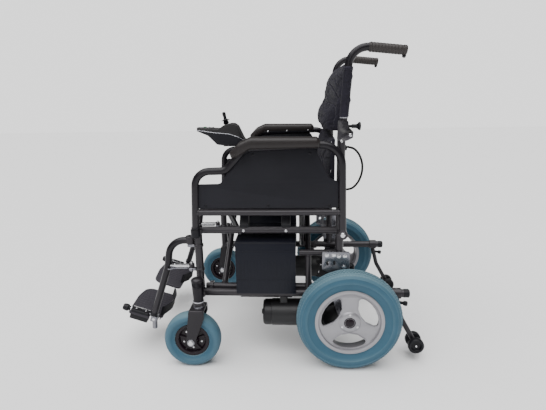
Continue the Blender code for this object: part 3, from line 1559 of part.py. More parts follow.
def build():
    chair = Chair()
    middle_x = sum(CROSS_X) / 2
    frames = {label: side_group(label, side) for label, side in SIDES.items()}
    chair.group("left_frame_body", (0, 0, 0), None, [*frames["left"], back_lower(), cable_loop()])
    chair.group(
        "cross_brace_a_pivot", (middle_x, -CROSS_Y, CROSS_LOW_Z), "left_frame_body",
        [cross_frame("a", -1, CROSS_STEP), seat_upholstery()],
    )
    centre = (middle_x, 0, (CROSS_LOW_Z + RAIL_Z) / 2)
    chair.group("cross_brace_b_pivot", centre, "cross_brace_a_pivot", [cross_frame("b", 1, -CROSS_STEP)])
    chair.group("right_frame_pivot", (middle_x, CROSS_Y, CROSS_LOW_Z), "cross_brace_b_pivot", frames["right"])
    for label, side in SIDES.items():
        carrier = "left_frame_body" if label == "left" else "right_frame_pivot"
        running_gear(chair, label, side, carrier)
        leg_rest(chair, label, side, carrier)
        upper_works(chair, label, side, carrier)
    controls(chair)
    bpy.data.collections.remove(BENCH)
    bpy.context.scene.collection.children.link(PARTS)
    bpy.context.scene.collection.children.link(TOOLS)


def side_group(label, side):
    return [make(label, side) for make in (side_frame, motor_plate, gear_motor, battery_box)]


def running_gear(chair, label, side, carrier):
    """Wheels, casters, clutch lever and anti-tip arm of one side."""
    wheel = (0, side * WHEEL_Y, TYRE_R)
    chair.group(f"{label}_wheel_pivot", wheel, carrier, [drive_tyre(label, side), drive_rim(label, side)])
    swivel = (BARREL_X, side * CASTER_Y, BARREL_LOW_Z)
    chair.group(f"{label}_caster_pivot", swivel, carrier, [caster_fork(label, side)])
    axle = (BARREL_X - CASTER_TRAIL, side * CASTER_Y, CASTER_R)
    caster_wheel = [caster_tyre(label, side), caster_hub(label, side)]
    chair.group(f"{label}_caster_wheel_pivot", axle, f"{label}_caster_pivot", caster_wheel)
    lever = (CLUTCH_X, side * CLUTCH_Y, CLUTCH_Z)
    chair.group(f"{label}_clutch_pivot", lever, carrier, [clutch_lever(label, side)])
    stub = (TIP_X, side * FRAME_Y, LOWER_Z)
    chair.group(f"{label}_anti_tip_pivot", stub, carrier, [anti_tip_arm(label, side)])
    rollers = (REAR_REACH - TIP_WHEEL_R, side * FRAME_Y, TIP_WHEEL_Z)
    chair.group(f"{label}_roller_pivot", rollers, f"{label}_anti_tip_pivot", [anti_tip_wheels(label, side)])


def leg_rest(chair, label, side, carrier):
    """Hanger, latch and footplate of one side."""
    post = (HANGER_X, side * FRAME_Y, BRACKET_Z)
    chair.group(f"{label}_hanger_pivot", post, carrier, [hanger_tube(label, side)])
    stud = (LATCH_X, side * FRAME_Y, BRACKET_Z)
    chair.group(f"{label}_latch_pivot", stud, f"{label}_hanger_pivot", [hanger_latch(label, side)])
    rod = (FOOT_X, side * ROD_Y, FOOT_Z)
    chair.group(f"{label}_rod_pivot", rod, f"{label}_hanger_pivot", [footplate_rod(label, side)])
    tread = [footplate(label, side), heel_loop(label, side)]
    chair.group(f"{label}_footplate_pivot", rod, f"{label}_rod_pivot", tread)


def upper_works(chair, label, side, carrier):
    """Armrest, back cane and release knob of one side."""
    arm = (ARM_PIVOT_X, side * ARM_Y, ARM_PIVOT_Z)
    chair.group(
        f"{label}_armrest_pivot", arm, carrier,
        [arm_tube(label, side), arm_pad(label, side), skirt_panel(label, side)],
    )
    cane = [upper_cane(label, side), push_grip(label, side)]
    if label == "left":
        cane.append(back_upper())
    chair.group(f"{label}_cane_pivot", (BACK_HINGE_X, side * FRAME_Y, BACK_HINGE_Z), carrier, cane)
    knob = (CANE_X, side * FRAME_Y, KNOB_Z)
    chair.group(f"{label}_release_pivot", knob, f"{label}_cane_pivot", [release_knob(label, side)])


def controls(chair):
    """The controller's case and everything that moves on it, carried by the right armrest."""
    case = (CLAMP_X[0], CONTROL_Y, CONTROL_FOOT_Z)
    chair.group(
        "controller_body", case, "right_armrest_pivot",
        [controller_bracket(), controller_housing(), controller_panel()],
    )
    ball = (STICK_X, CONTROL_Y, STICK_Z)
    chair.group("joystick_fore_aft_pivot", ball, "controller_body", [joystick_gimbal()])
    chair.group("joystick_sideways_pivot", ball, "joystick_fore_aft_pivot", [joystick()])
    power = ("power_button", BUTTON_SPREAD, "button_green")
    horn = ("horn_button", -BUTTON_SPREAD, "black_plastic")
    for name, across, finish in (power, horn):
        place = (BUTTON_X, CONTROL_Y + across, BUTTON_TOP_Z)
        chair.group(f"{name}_pivot", place, "controller_body", [button(name, across, finish)])
    spindle = (ROCKER_X, CONTROL_Y, BUTTON_TOP_Z - 0.003)
    chair.group("speed_rocker_pivot", spindle, "controller_body", [speed_rocker()])


build()
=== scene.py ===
"""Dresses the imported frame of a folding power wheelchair: shapes, finishes, light and view."""

import sys

import logging
import math
from collections.abc import Callable, Iterable, Sequence
from dataclasses import dataclass
from enum import Enum
from typing import Any

import bmesh
import bpy
from mathutils import Matrix, Vector, noise
from mathutils.bvhtree import BVHTree


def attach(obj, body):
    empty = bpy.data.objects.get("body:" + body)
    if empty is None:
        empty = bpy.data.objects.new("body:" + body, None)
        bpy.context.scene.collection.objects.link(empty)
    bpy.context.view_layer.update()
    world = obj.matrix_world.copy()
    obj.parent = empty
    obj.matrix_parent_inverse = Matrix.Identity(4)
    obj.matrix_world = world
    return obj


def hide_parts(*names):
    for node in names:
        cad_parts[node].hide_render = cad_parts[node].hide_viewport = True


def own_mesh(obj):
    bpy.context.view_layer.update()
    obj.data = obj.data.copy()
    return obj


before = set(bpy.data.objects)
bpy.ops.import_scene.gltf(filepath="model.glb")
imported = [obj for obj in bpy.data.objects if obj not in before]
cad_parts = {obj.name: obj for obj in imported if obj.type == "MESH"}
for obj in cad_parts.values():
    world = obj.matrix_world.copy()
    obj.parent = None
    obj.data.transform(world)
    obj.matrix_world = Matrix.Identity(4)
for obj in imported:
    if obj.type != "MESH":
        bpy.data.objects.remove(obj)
LOG = logging.getLogger("wheelchair")
AXLE_X = 0.244
MERGE = 2e-6
Point = Sequence[float]
Pairs = Sequence[tuple[float, float]]
Color = tuple[float, float, float]


class Side(Enum):
    """A side of the chair, with the sign of its Y values."""

    LEFT = -1
    RIGHT = 1

    @property
    def label(self) -> str:
        """The side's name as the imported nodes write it."""
        return self.name.lower()


# Node trees


class Wire:
    """A value in a node tree, whose Python operators add Math nodes."""

    def __init__(self, nodes: "Nodes", socket: bpy.types.NodeSocket) -> None:
        """Keeps the tree that the value is in and the output that carries it."""
        self.nodes = nodes
        self.socket = socket

    def math(self, operation: str, other: Any = 0.0) -> "Wire":
        """A Math node's result for this value and another."""
        return self.nodes.add("ShaderNodeMath", {0: self, 1: other}, operation=operation)

    def __add__(self, other: Any) -> "Wire":
        """This value plus another."""
        return self.math("ADD", other)

    def __sub__(self, other: Any) -> "Wire":
        """This value less another."""
        return self.math("SUBTRACT", other)

    def __mul__(self, other: Any) -> "Wire":
        """This value times another."""
        return self.math("MULTIPLY", other)

    def __truediv__(self, other: Any) -> "Wire":
        """This value over another."""
        return self.math("DIVIDE", other)

    def between(self, low: float, high: float) -> "Wire":
        """This value's share of the way from low to high, from 0 to 1."""
        return self.nodes.add("ShaderNodeMapRange", {0: self, 1: low, 2: high}, data_type="FLOAT", clamp=True)


class Nodes:
    """A node tree while it is put together."""

    def __init__(self, tree: bpy.types.NodeTree) -> None:
        """Takes the tree."""
        self.tree = tree

    def node(self, kind: str, inputs: dict[Any, Any] | None = None, **settings: Any) -> bpy.types.Node:
        """Adds a node.

        Args:
            kind: The node's type.
            inputs: Values, wires or sockets for its inputs, by name or number.
            **settings: Its own settings, which are set first.

        Returns:
            The node.
        """
        made = self.tree.nodes.new(kind)
        for key, value in settings.items():
            setattr(made, key, value)
        for key, value in (inputs or {}).items():
            if isinstance(value, Wire):
                value = value.socket
            if isinstance(value, bpy.types.NodeSocket):
                self.tree.links.new(value, made.inputs[key])
            else:
                made.inputs[key].default_value = value
        return made

    def add(self, kind: str, inputs: dict[Any, Any] | None = None, output: Any = 0, **settings: Any) -> Wire:
        """Adds a node like node does, and gives one of its outputs."""
        return Wire(self, self.node(kind, inputs, **settings).outputs[output])


class Recipe(Nodes):
    """A material's node tree while it is put together."""

    def __init__(self, name: str) -> None:
        """Starts an empty material of that name."""
        self.material = bpy.data.materials.new(name)
        self.material.use_nodes = True
        super().__init__(self.material.node_tree)
        self.tree.nodes.clear()

    def place(self, kind: str = "Object", stretch: Point = (1, 1, 1)) -> Wire:
        """Object or UV coordinates in metres, each axis scaled by its stretch."""
        base = self.add("ShaderNodeTexCoord", output=kind)
        return self.add("ShaderNodeMapping", {"Vector": base, "Scale": stretch})

    def noise(self, scale: float, detail: float = 2.0, stretch: Point = (1, 1, 1)) -> Wire:
        """Soft noise from about 0 to 1, by its lumps to a metre and its finer layers."""
        inputs = {"Vector": self.place(stretch=stretch), "Scale": scale, "Detail": detail}
        return self.add("ShaderNodeTexNoise", inputs)

    def axis(self, vector: Wire, index: int) -> Wire:
        """One of a vector's three numbers."""
        return self.add("ShaderNodeSeparateXYZ", {0: vector}, index)

    def edges(self, low: float = 0.52, high: float = 0.60) -> Wire:
        """The wear of edges, from 0 to 1, by the pointiness where it starts and where it is full."""
        return self.add("ShaderNodeNewGeometry", output="Pointiness").between(low, high)

    def facing_up(self) -> Wire:
        """How far the surface faces up, from 0 to 1."""
        return self.axis(self.add("ShaderNodeNewGeometry", output="Normal"), 2).between(0.35, 1.0)

    def mix(self, factor: Any, first: Any, second: Any) -> Wire:
        """A mix of two colours, by the second's share."""
        pair = [(*c, 1.0) if isinstance(c, tuple) else c for c in (first, second)]
        return self.add("ShaderNodeMix", {0: factor, 6: pair[0], 7: pair[1]}, 2, data_type="RGBA")

    def bump(self, height: Wire, strength: float, distance: float) -> Wire:
        """Relief from a height of 0 to 1, as tall as the distance in metres."""
        return self.add("ShaderNodeBump", {"Height": height, "Strength": strength, "Distance": distance})

    def done(self, **inputs: Any) -> bpy.types.Material:
        """Closes the tree with a Principled shader.

        Args:
            **inputs: Its inputs, with _ for a space.

        Returns:
            The material.
        """
        named = {key.replace("_", " "): (*v, 1.0) if isinstance(v, tuple) else v for key, v in inputs.items()}
        self.node("ShaderNodeOutputMaterial", {0: self.add("ShaderNodeBsdfPrincipled", named)})
        return self.material


# Finishes


@dataclass(frozen=True)
class Finish:
    """A finish by its colour and its roughness."""

    name: str
    color: Color
    rough: float

    def material(self) -> bpy.types.Material:
        """The finish as a material."""
        raise NotImplementedError

    def shade(self, times: float) -> Color:
        """The finish's colour, lighter or darker."""
        return tuple(min(1.0, c * times) for c in self.color)


@dataclass(frozen=True)
class PowderCoat(Finish):
    """Baked paint with a little orange peel, rubbed edges and dust where it faces up."""

    metal: float = 0.25
    peel: float = 420.0
    bare: Color = (0.085, 0.078, 0.085)
    dust: Color = (0.045, 0.041, 0.041)

    def material(self) -> bpy.types.Material:
        """The finish as a material."""
        made = Recipe(self.name)
        cloud = made.noise(9.0, 3.0)
        scuff = made.noise(70.0, 6.0, (1, 1, 4)).between(0.62, 0.80)
        base = made.mix(cloud, self.shade(0.78), self.shade(1.28))
        base = made.mix(made.facing_up() * made.noise(38.0, 4.0) * 0.22, base, self.dust)
        base = made.mix(made.edges() * 0.35 + scuff * 0.10, base, self.bare)
        rough = made.noise(55.0, 3.0) * 0.16 + (self.rough - 0.08) + scuff * 0.12
        relief = made.bump(made.noise(self.peel, 1.0), 0.16, 0.0004)
        return made.done(
            Base_Color=base, Metallic=self.metal, Roughness=rough, Normal=relief, Coat_Weight=0.10,
            Coat_Roughness=0.22, Specular_IOR_Level=0.28,
        )


@dataclass(frozen=True)
class Plated(Finish):
    """Zinc or nickel plate with fine brushing and a few dull patches."""

    grain: Point = (1, 1, 14)

    def material(self) -> bpy.types.Material:
        """The finish as a material."""
        made = Recipe(self.name)
        brushed = made.noise(260.0, 3.0, self.grain)
        patch = made.noise(45.0, 4.0).between(0.48, 0.72)
        base = made.mix(brushed, self.shade(0.82), self.shade(1.12))
        base = made.mix(patch * 0.35, base, (0.30, 0.295, 0.28))
        rough = brushed * 0.14 + patch * 0.16 + (self.rough - 0.10)
        relief = made.bump(brushed, 0.10, 0.0002)
        return made.done(Base_Color=base, Metallic=0.92, Roughness=rough, Normal=relief)


@dataclass(frozen=True)
class CastPaint(Finish):
    """Silver paint on a casting: fine flake, a soft skin, and darker cloudy patches."""

    metal: float = 0.55

    def material(self) -> bpy.types.Material:
        """The finish as a material."""
        made = Recipe(self.name)
        flake = made.noise(2600.0, 1.0)
        cloud = made.noise(26.0, 3.0)
        base = made.mix(flake, self.shade(0.90), self.shade(1.10))
        base = made.mix(cloud.between(0.35, 0.75) * 0.18, base, self.shade(0.68))
        rough = cloud * 0.14 + (self.rough - 0.07)
        relief = made.bump(made.noise(520.0, 2.0), 0.10, 0.0003)
        return made.done(
            Base_Color=base, Metallic=self.metal, Roughness=rough, Normal=relief, Coat_Weight=0.15,
            Coat_Roughness=0.30,
        )


@dataclass(frozen=True)
class Moulding(Finish):
    """Moulded plastic or polyurethane with a fine grain, cloudy colour and pale rubbed edges."""

    grain: float = 1300.0
    depth: float = 0.0003
    strength: float = 0.25
    rubbed: float = 0.25
    coat: float = 0.0

    def material(self) -> bpy.types.Material:
        """The finish as a material."""
        made = Recipe(self.name)
        cloud = made.noise(14.0, 4.0)
        fine = made.noise(self.grain, 3.0)
        base = made.mix(cloud, self.shade(0.80), self.shade(1.22))
        base = made.mix(fine.between(0.45, 0.75) * 0.22, base, self.shade(1.7))
        base = made.mix(made.edges() * self.rubbed, base, self.shade(2.6))
        base = made.mix(made.facing_up() * made.noise(60.0, 4.0) * 0.08, base, (0.10, 0.095, 0.09))
        rough = made.noise(80.0, 3.0) * 0.18 + (self.rough - 0.09)
        relief = made.bump(fine, self.strength, self.depth)
        return made.done(
            Base_Color=base, Roughness=rough, Normal=relief, Coat_Weight=self.coat, Coat_Roughness=0.25,
            Specular_IOR_Level=0.20,
        )


@dataclass(frozen=True)
class TyreRubber(Finish):
    """Solid coloured tyre rubber with cloudy colour, fine flecks and paler worn edges, and a painted top
    light: paler teal where it faces up.
    """

    def material(self) -> bpy.types.Material:
        """The finish as a material."""
        made = Recipe(self.name)
        cloud = made.noise(18.0, 4.0)
        fine = made.noise(900.0, 3.0)
        base = made.mix(cloud, self.shade(0.84), self.shade(1.18))
        # Painted top light: faces that point up are mixed halfway to a paler teal, as if lit from above.
        base = made.mix(made.facing_up() * 0.50, base, (0.17, 0.27, 0.29))
        base = made.mix(fine.between(0.55, 0.85) * 0.35, base, self.shade(1.6))
        base = made.mix(made.edges(0.51, 0.57) * 0.40, base, (0.16, 0.25, 0.29))
        rough = made.noise(120.0, 3.0) * 0.18 + (self.rough - 0.09)
        relief = made.bump(fine, 0.30, 0.0004)
        return made.done(
            Base_Color=base, Roughness=rough, Normal=relief, Specular_IOR_Level=0.22, Sheen_Weight=0.04,
            Sheen_Roughness=0.5,
        )


@dataclass(frozen=True)
class Woven(Finish):
    """Plain woven nylon that follows the surface, with a sheen, faded folds and lint."""

    pitch: float = 0.0013
    sheen: float = 0.04

    def material(self) -> bpy.types.Material:
        """The finish as a material."""
        made = Recipe(self.name)
        flat = made.place("UV")
        turn = 2 * math.pi / self.pitch
        warp = (made.axis(flat, 0) * turn).math("SINE")
        weft = (made.axis(flat, 1) * turn).math("SINE")
        weave = (warp * weft).between(-1.0, 1.0)
        cloud = made.noise(22.0, 4.0)
        base = made.mix(weave * 0.55, self.shade(0.62), self.shade(1.25))
        base = made.mix(cloud.between(0.40, 0.75) * 0.45, base, self.shade(1.75))
        base = made.mix(made.edges(0.505, 0.54) * 0.35, base, self.shade(2.8))
        rough = made.noise(60.0, 3.0) * 0.16 + weave * 0.08 + (self.rough - 0.12)
        relief = made.bump(weave, 0.35, 0.0005)
        return made.done(
            Base_Color=base, Roughness=rough, Normal=relief, Sheen_Weight=self.sheen, Sheen_Roughness=0.45,
            Specular_IOR_Level=0.16,
        )


class Look(Enum):
    """Every finish on the chair."""

    FRAME = PowderCoat("frame_black_coat", (0.0078, 0.0066, 0.0094), 0.32)
    MOTOR = PowderCoat("motor_black_coat", (0.006, 0.006, 0.0075), 0.40, 0.1, 300.0, (0.04, 0.04, 0.04))
    ZINC = Plated("zinc_plate", (0.21, 0.21, 0.235), 0.30)
    BOLT = Plated("bolt_plate", (0.66, 0.66, 0.68), 0.25, (6, 6, 6))
    TYRE = TyreRubber("tyre_blue_rubber", (0.035, 0.096, 0.142), 0.58)
    RIM = CastPaint("rim_silver_paint", (0.30, 0.295, 0.315), 0.36)
    PLASTIC = Moulding("black_plastic_moulding", (0.0055, 0.0055, 0.0075), 0.40)
    PAD = Moulding("pad_brown_skin", (0.0160, 0.0130, 0.0130), 0.42, 700.0, 0.0006, 0.35, 0.20, 0.15)
    SKIRT = Moulding("skirt_grey_sheet", (0.0090, 0.0090, 0.0125), 0.50, 1500.0, 0.0002, 0.18)
    GRIP = Moulding("grip_rubber_skin", (0.036, 0.032, 0.031), 0.42, 1400.0, 0.0001, 0.10, 0.10)
    FOOT = Moulding("footplate_grey_moulding", (0.027, 0.025, 0.031), 0.50, 420.0, 0.0008, 0.45)
    BATTERY = Moulding("battery_black_case", (0.0035, 0.0042, 0.0085), 0.40, 900.0, 0.0004, 0.25)
    CONTROL = Moulding("control_grey_case", (0.0100, 0.0100, 0.0135), 0.44, 1600.0, 0.0002, 0.22)
    HUMP = Moulding("control_hump_case", (0.026, 0.025, 0.026), 0.38, 1600.0, 0.0002, 0.18)
    CAP = Moulding("hub_cap_gloss", (0.0070, 0.0034, 0.0064), 0.28, 900.0, 0.0001, 0.10, 0.10, 0.08)
    GREEN = Moulding("button_green_cap", (0.05, 0.17, 0.08), 0.38)
    LINE = CastPaint("silver_seam_line", (0.50, 0.50, 0.54), 0.30)
    NYLON = Woven("nylon_weave", (0.0120, 0.0108, 0.0180), 0.58, 0.0013, 0.06)
    WEBBING = Woven("webbing_weave", (0.0055, 0.0055, 0.0075), 0.72, 0.0024, 0.03)
    THREAD = Woven("seam_thread", (0.026, 0.025, 0.034), 0.60, 0.0006, 0.05)
    CORD = Moulding("cord_black_sheath", (0.005, 0.005, 0.0055), 0.40, 800.0, 0.0002, 0.15)
    METAL = Plated("dark_metal", (0.060, 0.058, 0.065), 0.30, (4, 4, 4))

    def material(self) -> bpy.types.Material:
        """The finish's material, made once."""
        return bpy.data.materials.get(self.value.name) or self.value.material()


# Outlines and paths, in metres from the rear axle


def mm(*numbers: float) -> list[tuple[float, float]]:
    """Pairs in metres from a flat row of millimetres."""
    return [(a / 1000, b / 1000) for a, b in zip(numbers[::2], numbers[1::2])]


def mirrored(half: Pairs, skip: int = 1) -> list[tuple[float, float]]:
    """A closed ring from its upper half, without the first few points of its lower half."""
    return [*half, *[(r, -h) for r, h in reversed(half[skip:])]]


def bent(corners: Sequence[Point], radii: Sequence[float], steps: int = 8) -> list[Vector]:
    """Points along straight runs whose inner corners are rounded.

    Args:
        corners: The runs' ends.
        radii: The radius at each inner corner.
        steps: Points round each bend.

    Returns:
        The points.
    """
    corners = [Vector(c) for c in corners]
    points = [corners[0]]
    for before, corner, after, radius in zip(corners, corners[1:], corners[2:], radii):
        into, out = (before - corner).normalized(), (after - corner).normalized()
        half = into.angle(out) / 2
        reach = radius / math.tan(half)
        centre = corner + (into + out).normalized() * (radius / math.sin(half))
        start = (corner + into * reach - centre).normalized()
        end = (corner + out * reach - centre).normalized()
        points += [centre + start.slerp(end, step / steps) * radius for step in range(steps + 1)]
    points.append(corners[-1])
    return points


def curved(corners: Pairs, radii: Sequence[float], steps: int) -> list[tuple[float, float]]:
    """Flat points along straight runs whose inner corners are rounded, as bent does it."""
    return [(p.x, p.z) for p in bent([(x, 0, z) for x, z in corners], radii, steps)]


def rounded(corners: Pairs, radii: float | Sequence[float], steps: int = 5) -> list[tuple[float, float]]:
    """A closed outline with rounded corners.

    Args:
        corners: The outline's corners.
        radii: One radius, or one for each corner.
        steps: Points round each corner.

    Returns:
        The outline's points.
    """
    if isinstance(radii, (int, float)):
        radii = [radii] * len(corners)
    flat = [Vector((*c, 0)) for c in corners]
    points: list[Vector] = []
    for i, (corner, radius) in enumerate(zip(flat, radii)):
        points += bent([flat[i - 1], corner, flat[(i + 1) % len(flat)]], [radius], steps)[1:-1]
    return [(p.x, p.y) for p in points]


def spokes(count: int, first: float = 0.0) -> list[tuple[float, float]]:
    """The cosine and the sine of each of a number of even turns, the first one in degrees."""
    turns = [math.radians(360 / count * i + first) for i in range(count)]
    return [(math.cos(t), math.sin(t)) for t in turns]


def circle(x: float, z: float, radius: float, steps: int = 32) -> list[tuple[float, float]]:
    """A round outline about a centre."""
    turns = [2 * math.pi * i / steps for i in range(steps)]
    return [(x + radius * math.cos(t), z + radius * math.sin(t)) for t in turns]


def hull(points: Pairs) -> list[tuple[float, float]]:
    """The convex outline round flat points, anticlockwise."""
    rows = sorted(set(points))
    chains = []
    for row in (rows, rows[::-1]):
        chain: list[tuple[float, float]] = []
        for p in row:
            while len(chain) > 1:
                (ax, ay), (bx, by) = chain[-2], chain[-1]
                if (bx - ax) * (p[1] - ay) - (by - ay) * (p[0] - ax) > 1e-12:
                    break
                chain.pop()
            chain.append(p)
        chains += chain[:-1]
    return chains


def flowing(knots: Sequence[Point], steps: int) -> list[Vector]:
    """A smooth path through every knot, with a number of points to each span."""
    row = [Vector(k) for k in knots]
    row = [row[0] * 2 - row[1], *row, row[-1] * 2 - row[-2]]
    points = []
    for a, b, c, d in zip(row, row[1:], row[2:], row[3:]):
        for t in [i / steps for i in range(steps)]:
            square, cube = 2 * a - 5 * b + 4 * c - d, 3 * b - a - 3 * c + d
            points.append(b + (c - a) * t / 2 + square * t**2 / 2 + cube * t**3 / 2)
    points.append(row[-2])
    return points


def span(low: float, high: float, count: int) -> list[float]:
    """Evenly spaced values from low to high."""
    return [low + (high - low) * i / count for i in range(count + 1)]


# Places


def standing(x: float, y: float, z: float) -> Matrix:
    """A place whose own Z axis points up."""
    return Matrix.Translation((x, y, z))


def spun(degrees: float, axis: str) -> Matrix:
    """A turn about an axis."""
    return Matrix.Rotation(math.radians(degrees), 4, axis)


def upright(y: float) -> Matrix:
    """The plane at a Y value, whose own X and Y are the chair's X and Z."""
    return standing(0, y, 0) @ spun(90, "X")


def crossways(x: float) -> Matrix:
    """The plane at an X value, whose own X and Y are the chair's Y and Z."""
    return standing(x, 0, 0) @ spun(90, "Z") @ spun(90, "X")


def outward(x: float, y: float, z: float, sign: int) -> Matrix:
    """A place whose own Z axis points out from the chair, to the side of that sign."""
    return standing(x, y, z) @ spun(-90 * sign, "X")


def along_x(x: float, y: float, z: float) -> Matrix:
    """A place whose own Z axis points along +X."""
    return standing(x, y, z) @ spun(90, "Y")


def aimed(spot: Point, way: Vector) -> Matrix:
    """A place whose own Z axis points along a way."""
    return Matrix.Translation(spot) @ way.to_track_quat("Z", "Y").to_matrix().to_4x4()


# Mesh building


def plain(verts: Iterable[Point], faces: Sequence[Sequence[int]] = (), edges: Pairs = ()) -> bpy.types.Mesh:
    """A mesh from its points and its faces or edges."""
    mesh = bpy.data.meshes.new("plain")
    mesh.from_pydata(list(verts), edges, faces)
    return mesh


def band(low: int, high: int, count: int) -> list[tuple[int, ...]]:
    """The faces between two closed rings of points, by the first number of each ring."""
    return [(low + j, low + (j + 1) % count, high + (j + 1) % count, high + j) for j in range(count)]


def bands(rings: int, count: int) -> list[tuple[int, ...]]:
    """The faces between closed rings that follow each other."""
    return [face for i in range(rings - 1) for face in band(i * count, (i + 1) * count, count)]


def ends(rings: int, count: int) -> list[tuple[int, ...]]:
    """The two faces that close the first and the last of the rings."""
    return [tuple(range(count))[::-1], tuple(range((rings - 1) * count, rings * count))]


def link(made: bpy.types.Object) -> bpy.types.Object:
    """Puts an object into the scene."""
    bpy.context.scene.collection.objects.link(made)
    return made


def baked(source: bpy.types.Object) -> bpy.types.Mesh:
    """The evaluated shape, as a plain mesh, of an object that isn't in the scene yet and is used up."""
    link(source)
    bpy.context.view_layer.update()
    graph = bpy.context.evaluated_depsgraph_get()
    mesh = bpy.data.meshes.new_from_object(source.evaluated_get(graph))
    bpy.data.objects.remove(source)
    return mesh


class Form:
    """A piece's mesh while it is built, in metres from the rear axle."""

    def __init__(self, name: str) -> None:
        """Starts an empty mesh for the piece of that name."""
        self.name = name
        self.shape = bmesh.new()
        self.looks: list[Look] = []

    def absorb(self, mesh: bpy.types.Mesh, look: Look, matrix: Matrix | None = None) -> None:
        """Adds a mesh to the piece.

        Args:
            mesh: The mesh, which is used up.
            look: Its finish.
            matrix: Where it goes.
        """
        if look not in self.looks:
            self.looks.append(look)
        if matrix is not None:
            mesh.transform(matrix)
        mesh.polygons.foreach_set("material_index", [self.looks.index(look)] * len(mesh.polygons))
        self.shape.from_mesh(mesh)
        bpy.data.meshes.remove(mesh)

    def sweep(
        self, path: Sequence[Point], radius: float, look: Look, sides: int = 20, chamfer: float = 0.0008
    ) -> None:
        """Adds a round bar along a path, its ends closed and chamfered.

        Args:
            path: The centre line's points.
            radius: The radius.
            look: Its finish.
            sides: Facets round it.
            chamfer: The chamfer at both ends.
        """
        points = [Vector(p) for p in path]
        stations = []
        last = len(points) - 1
        for i, point in enumerate(points):
            along = (points[min(i + 1, last)] - points[max(i - 1, 0)]).normalized()
            rings = [(point, along, radius)]
            if i == 0:
                rings = [(point, along, radius - chamfer), (point + along * chamfer, along, radius)]
            elif i == last:
                rings = [(point - along * chamfer, along, radius), (point, along, radius - chamfer)]
            stations += rings
        normal = stations[0][1].orthogonal().normalized()
        verts = []
        for centre, along, r in stations:
            normal = (normal - along * normal.dot(along)).normalized()
            across = along.cross(normal)
            for j in range(sides):
                turn = 2 * math.pi * j / sides
                verts.append(centre + (normal * math.cos(turn) + across * math.sin(turn)) * r)
        faces = bands(len(stations), sides) + ends(len(stations), sides)
        self.absorb(plain(verts, faces), look)

    def turn(self, profile: Pairs, matrix: Matrix, look: Look, steps: int = 40, ring: bool = False) -> None:
        """Adds a turned shape about the matrix's Z axis.

        Args:
            profile: Radius and height of each point.
            matrix: Where it stands.
            look: Its finish.
            steps: Facets round it.
            ring: Whether the profile is a closed ring.
        """
        verts, faces, rows = [], [], []
        for r, h in profile:
            start = len(verts)
            if r < 1e-7:
                verts.append((0, 0, h))
                rows.append([start] * steps)
                continue
            turns = [2 * math.pi * j / steps for j in range(steps)]
            verts += [(r * math.cos(t), r * math.sin(t), h) for t in turns]
            rows.append(list(range(start, start + steps)))
        if ring:
            rows.append(rows[0])
        for low, high in zip(rows, rows[1:]):
            for j in range(steps):
                k = (j + 1) % steps
                corners = dict.fromkeys((low[j], low[k], high[k], high[j]))
                if len(corners) > 2:
                    faces.append(tuple(corners))
        self.absorb(plain(verts, faces), look, matrix)

    def ring(self, profile: Pairs, matrix: Matrix, look: Look, steps: int = 40) -> None:
        """Adds a turned ring, as turn does it."""
        self.turn(profile, matrix, look, steps, ring=True)

    def disc(
        self, radius: float, low: float, high: float, matrix: Matrix, look: Look, chamfer: float = 0.0008
    ) -> None:
        """Adds a short round bar with chamfered edges along the matrix's Z axis.

        Args:
            radius: Its radius.
            low: Its lower end.
            high: Its upper end.
            matrix: Where it stands.
            look: Its finish.
            chamfer: The chamfer at both ends.
        """
        edge = min(chamfer, (high - low) / 3)
        profile = [(0, high), (radius - edge, high), (radius, high - edge)]
        profile += [(radius, low + edge), (radius - edge, low), (0, low)]
        self.turn(profile, matrix, look, 32)

    def slab(
        self, low: Point, high: Point, look: Look, bevel: float = 0.001, matrix: Matrix | None = None,
        segments: int = 2,
    ) -> None:
        """Adds a box between two corners with rounded edges.

        Args:
            low: One corner.
            high: The corner across from it.
            look: Its finish.
            bevel: The rounding of its edges.
            matrix: Where it goes.
            segments: Facets across each rounding.
        """
        shape = bmesh.new()
        bmesh.ops.create_cube(shape, size=1)
        for vert in shape.verts:
            vert.co = [min(a, b) + abs(b - a) * (c + 0.5) for a, b, c in zip(low, high, vert.co)]
        bmesh.ops.bevel(shape, geom=shape.edges, offset=bevel, segments=segments, profile=0.5, affect="EDGES")
        mesh = plain(())
        shape.to_mesh(mesh)
        shape.free()
        self.absorb(mesh, look, matrix)

    def plate(
        self, outline: Pairs, thickness: float, matrix: Matrix, look: Look, bevel: float = 0.0006,
        holes: Sequence[Pairs] = (),
    ) -> None:
        """Adds a flat outline with holes and rounded edges, centred on the matrix's XY plane.

        Args:
            outline: Its edge.
            thickness: How thick it is.
            matrix: Where it goes.
            look: Its finish.
            bevel: The rounding of its edges.
            holes: The edges of its holes.
        """
        curve = bpy.data.curves.new("plate", "CURVE")
        curve.dimensions = "2D"
        curve.fill_mode = "BOTH"
        curve.extrude = thickness / 2 - bevel
        curve.bevel_depth = bevel
        curve.bevel_resolution = 1
        curve.offset = -bevel
        for row in (outline, *holes):
            spline = curve.splines.new("POLY")
            spline.points.add(len(row) - 1)
            for place, point in zip(spline.points, row):
                place.co = (*point, 0, 1)
            spline.use_cyclic_u = True
        self.absorb(baked(bpy.data.objects.new("plate", curve)), look, matrix)

    def _closed(self) -> bpy.types.Mesh:
        """The mesh with its finishes. The working shape is used up."""
        mesh = bpy.data.meshes.new(self.name)
        self.shape.to_mesh(mesh)
        self.shape.free()
        for look in self.looks:
            mesh.materials.append(look.material())
        return mesh

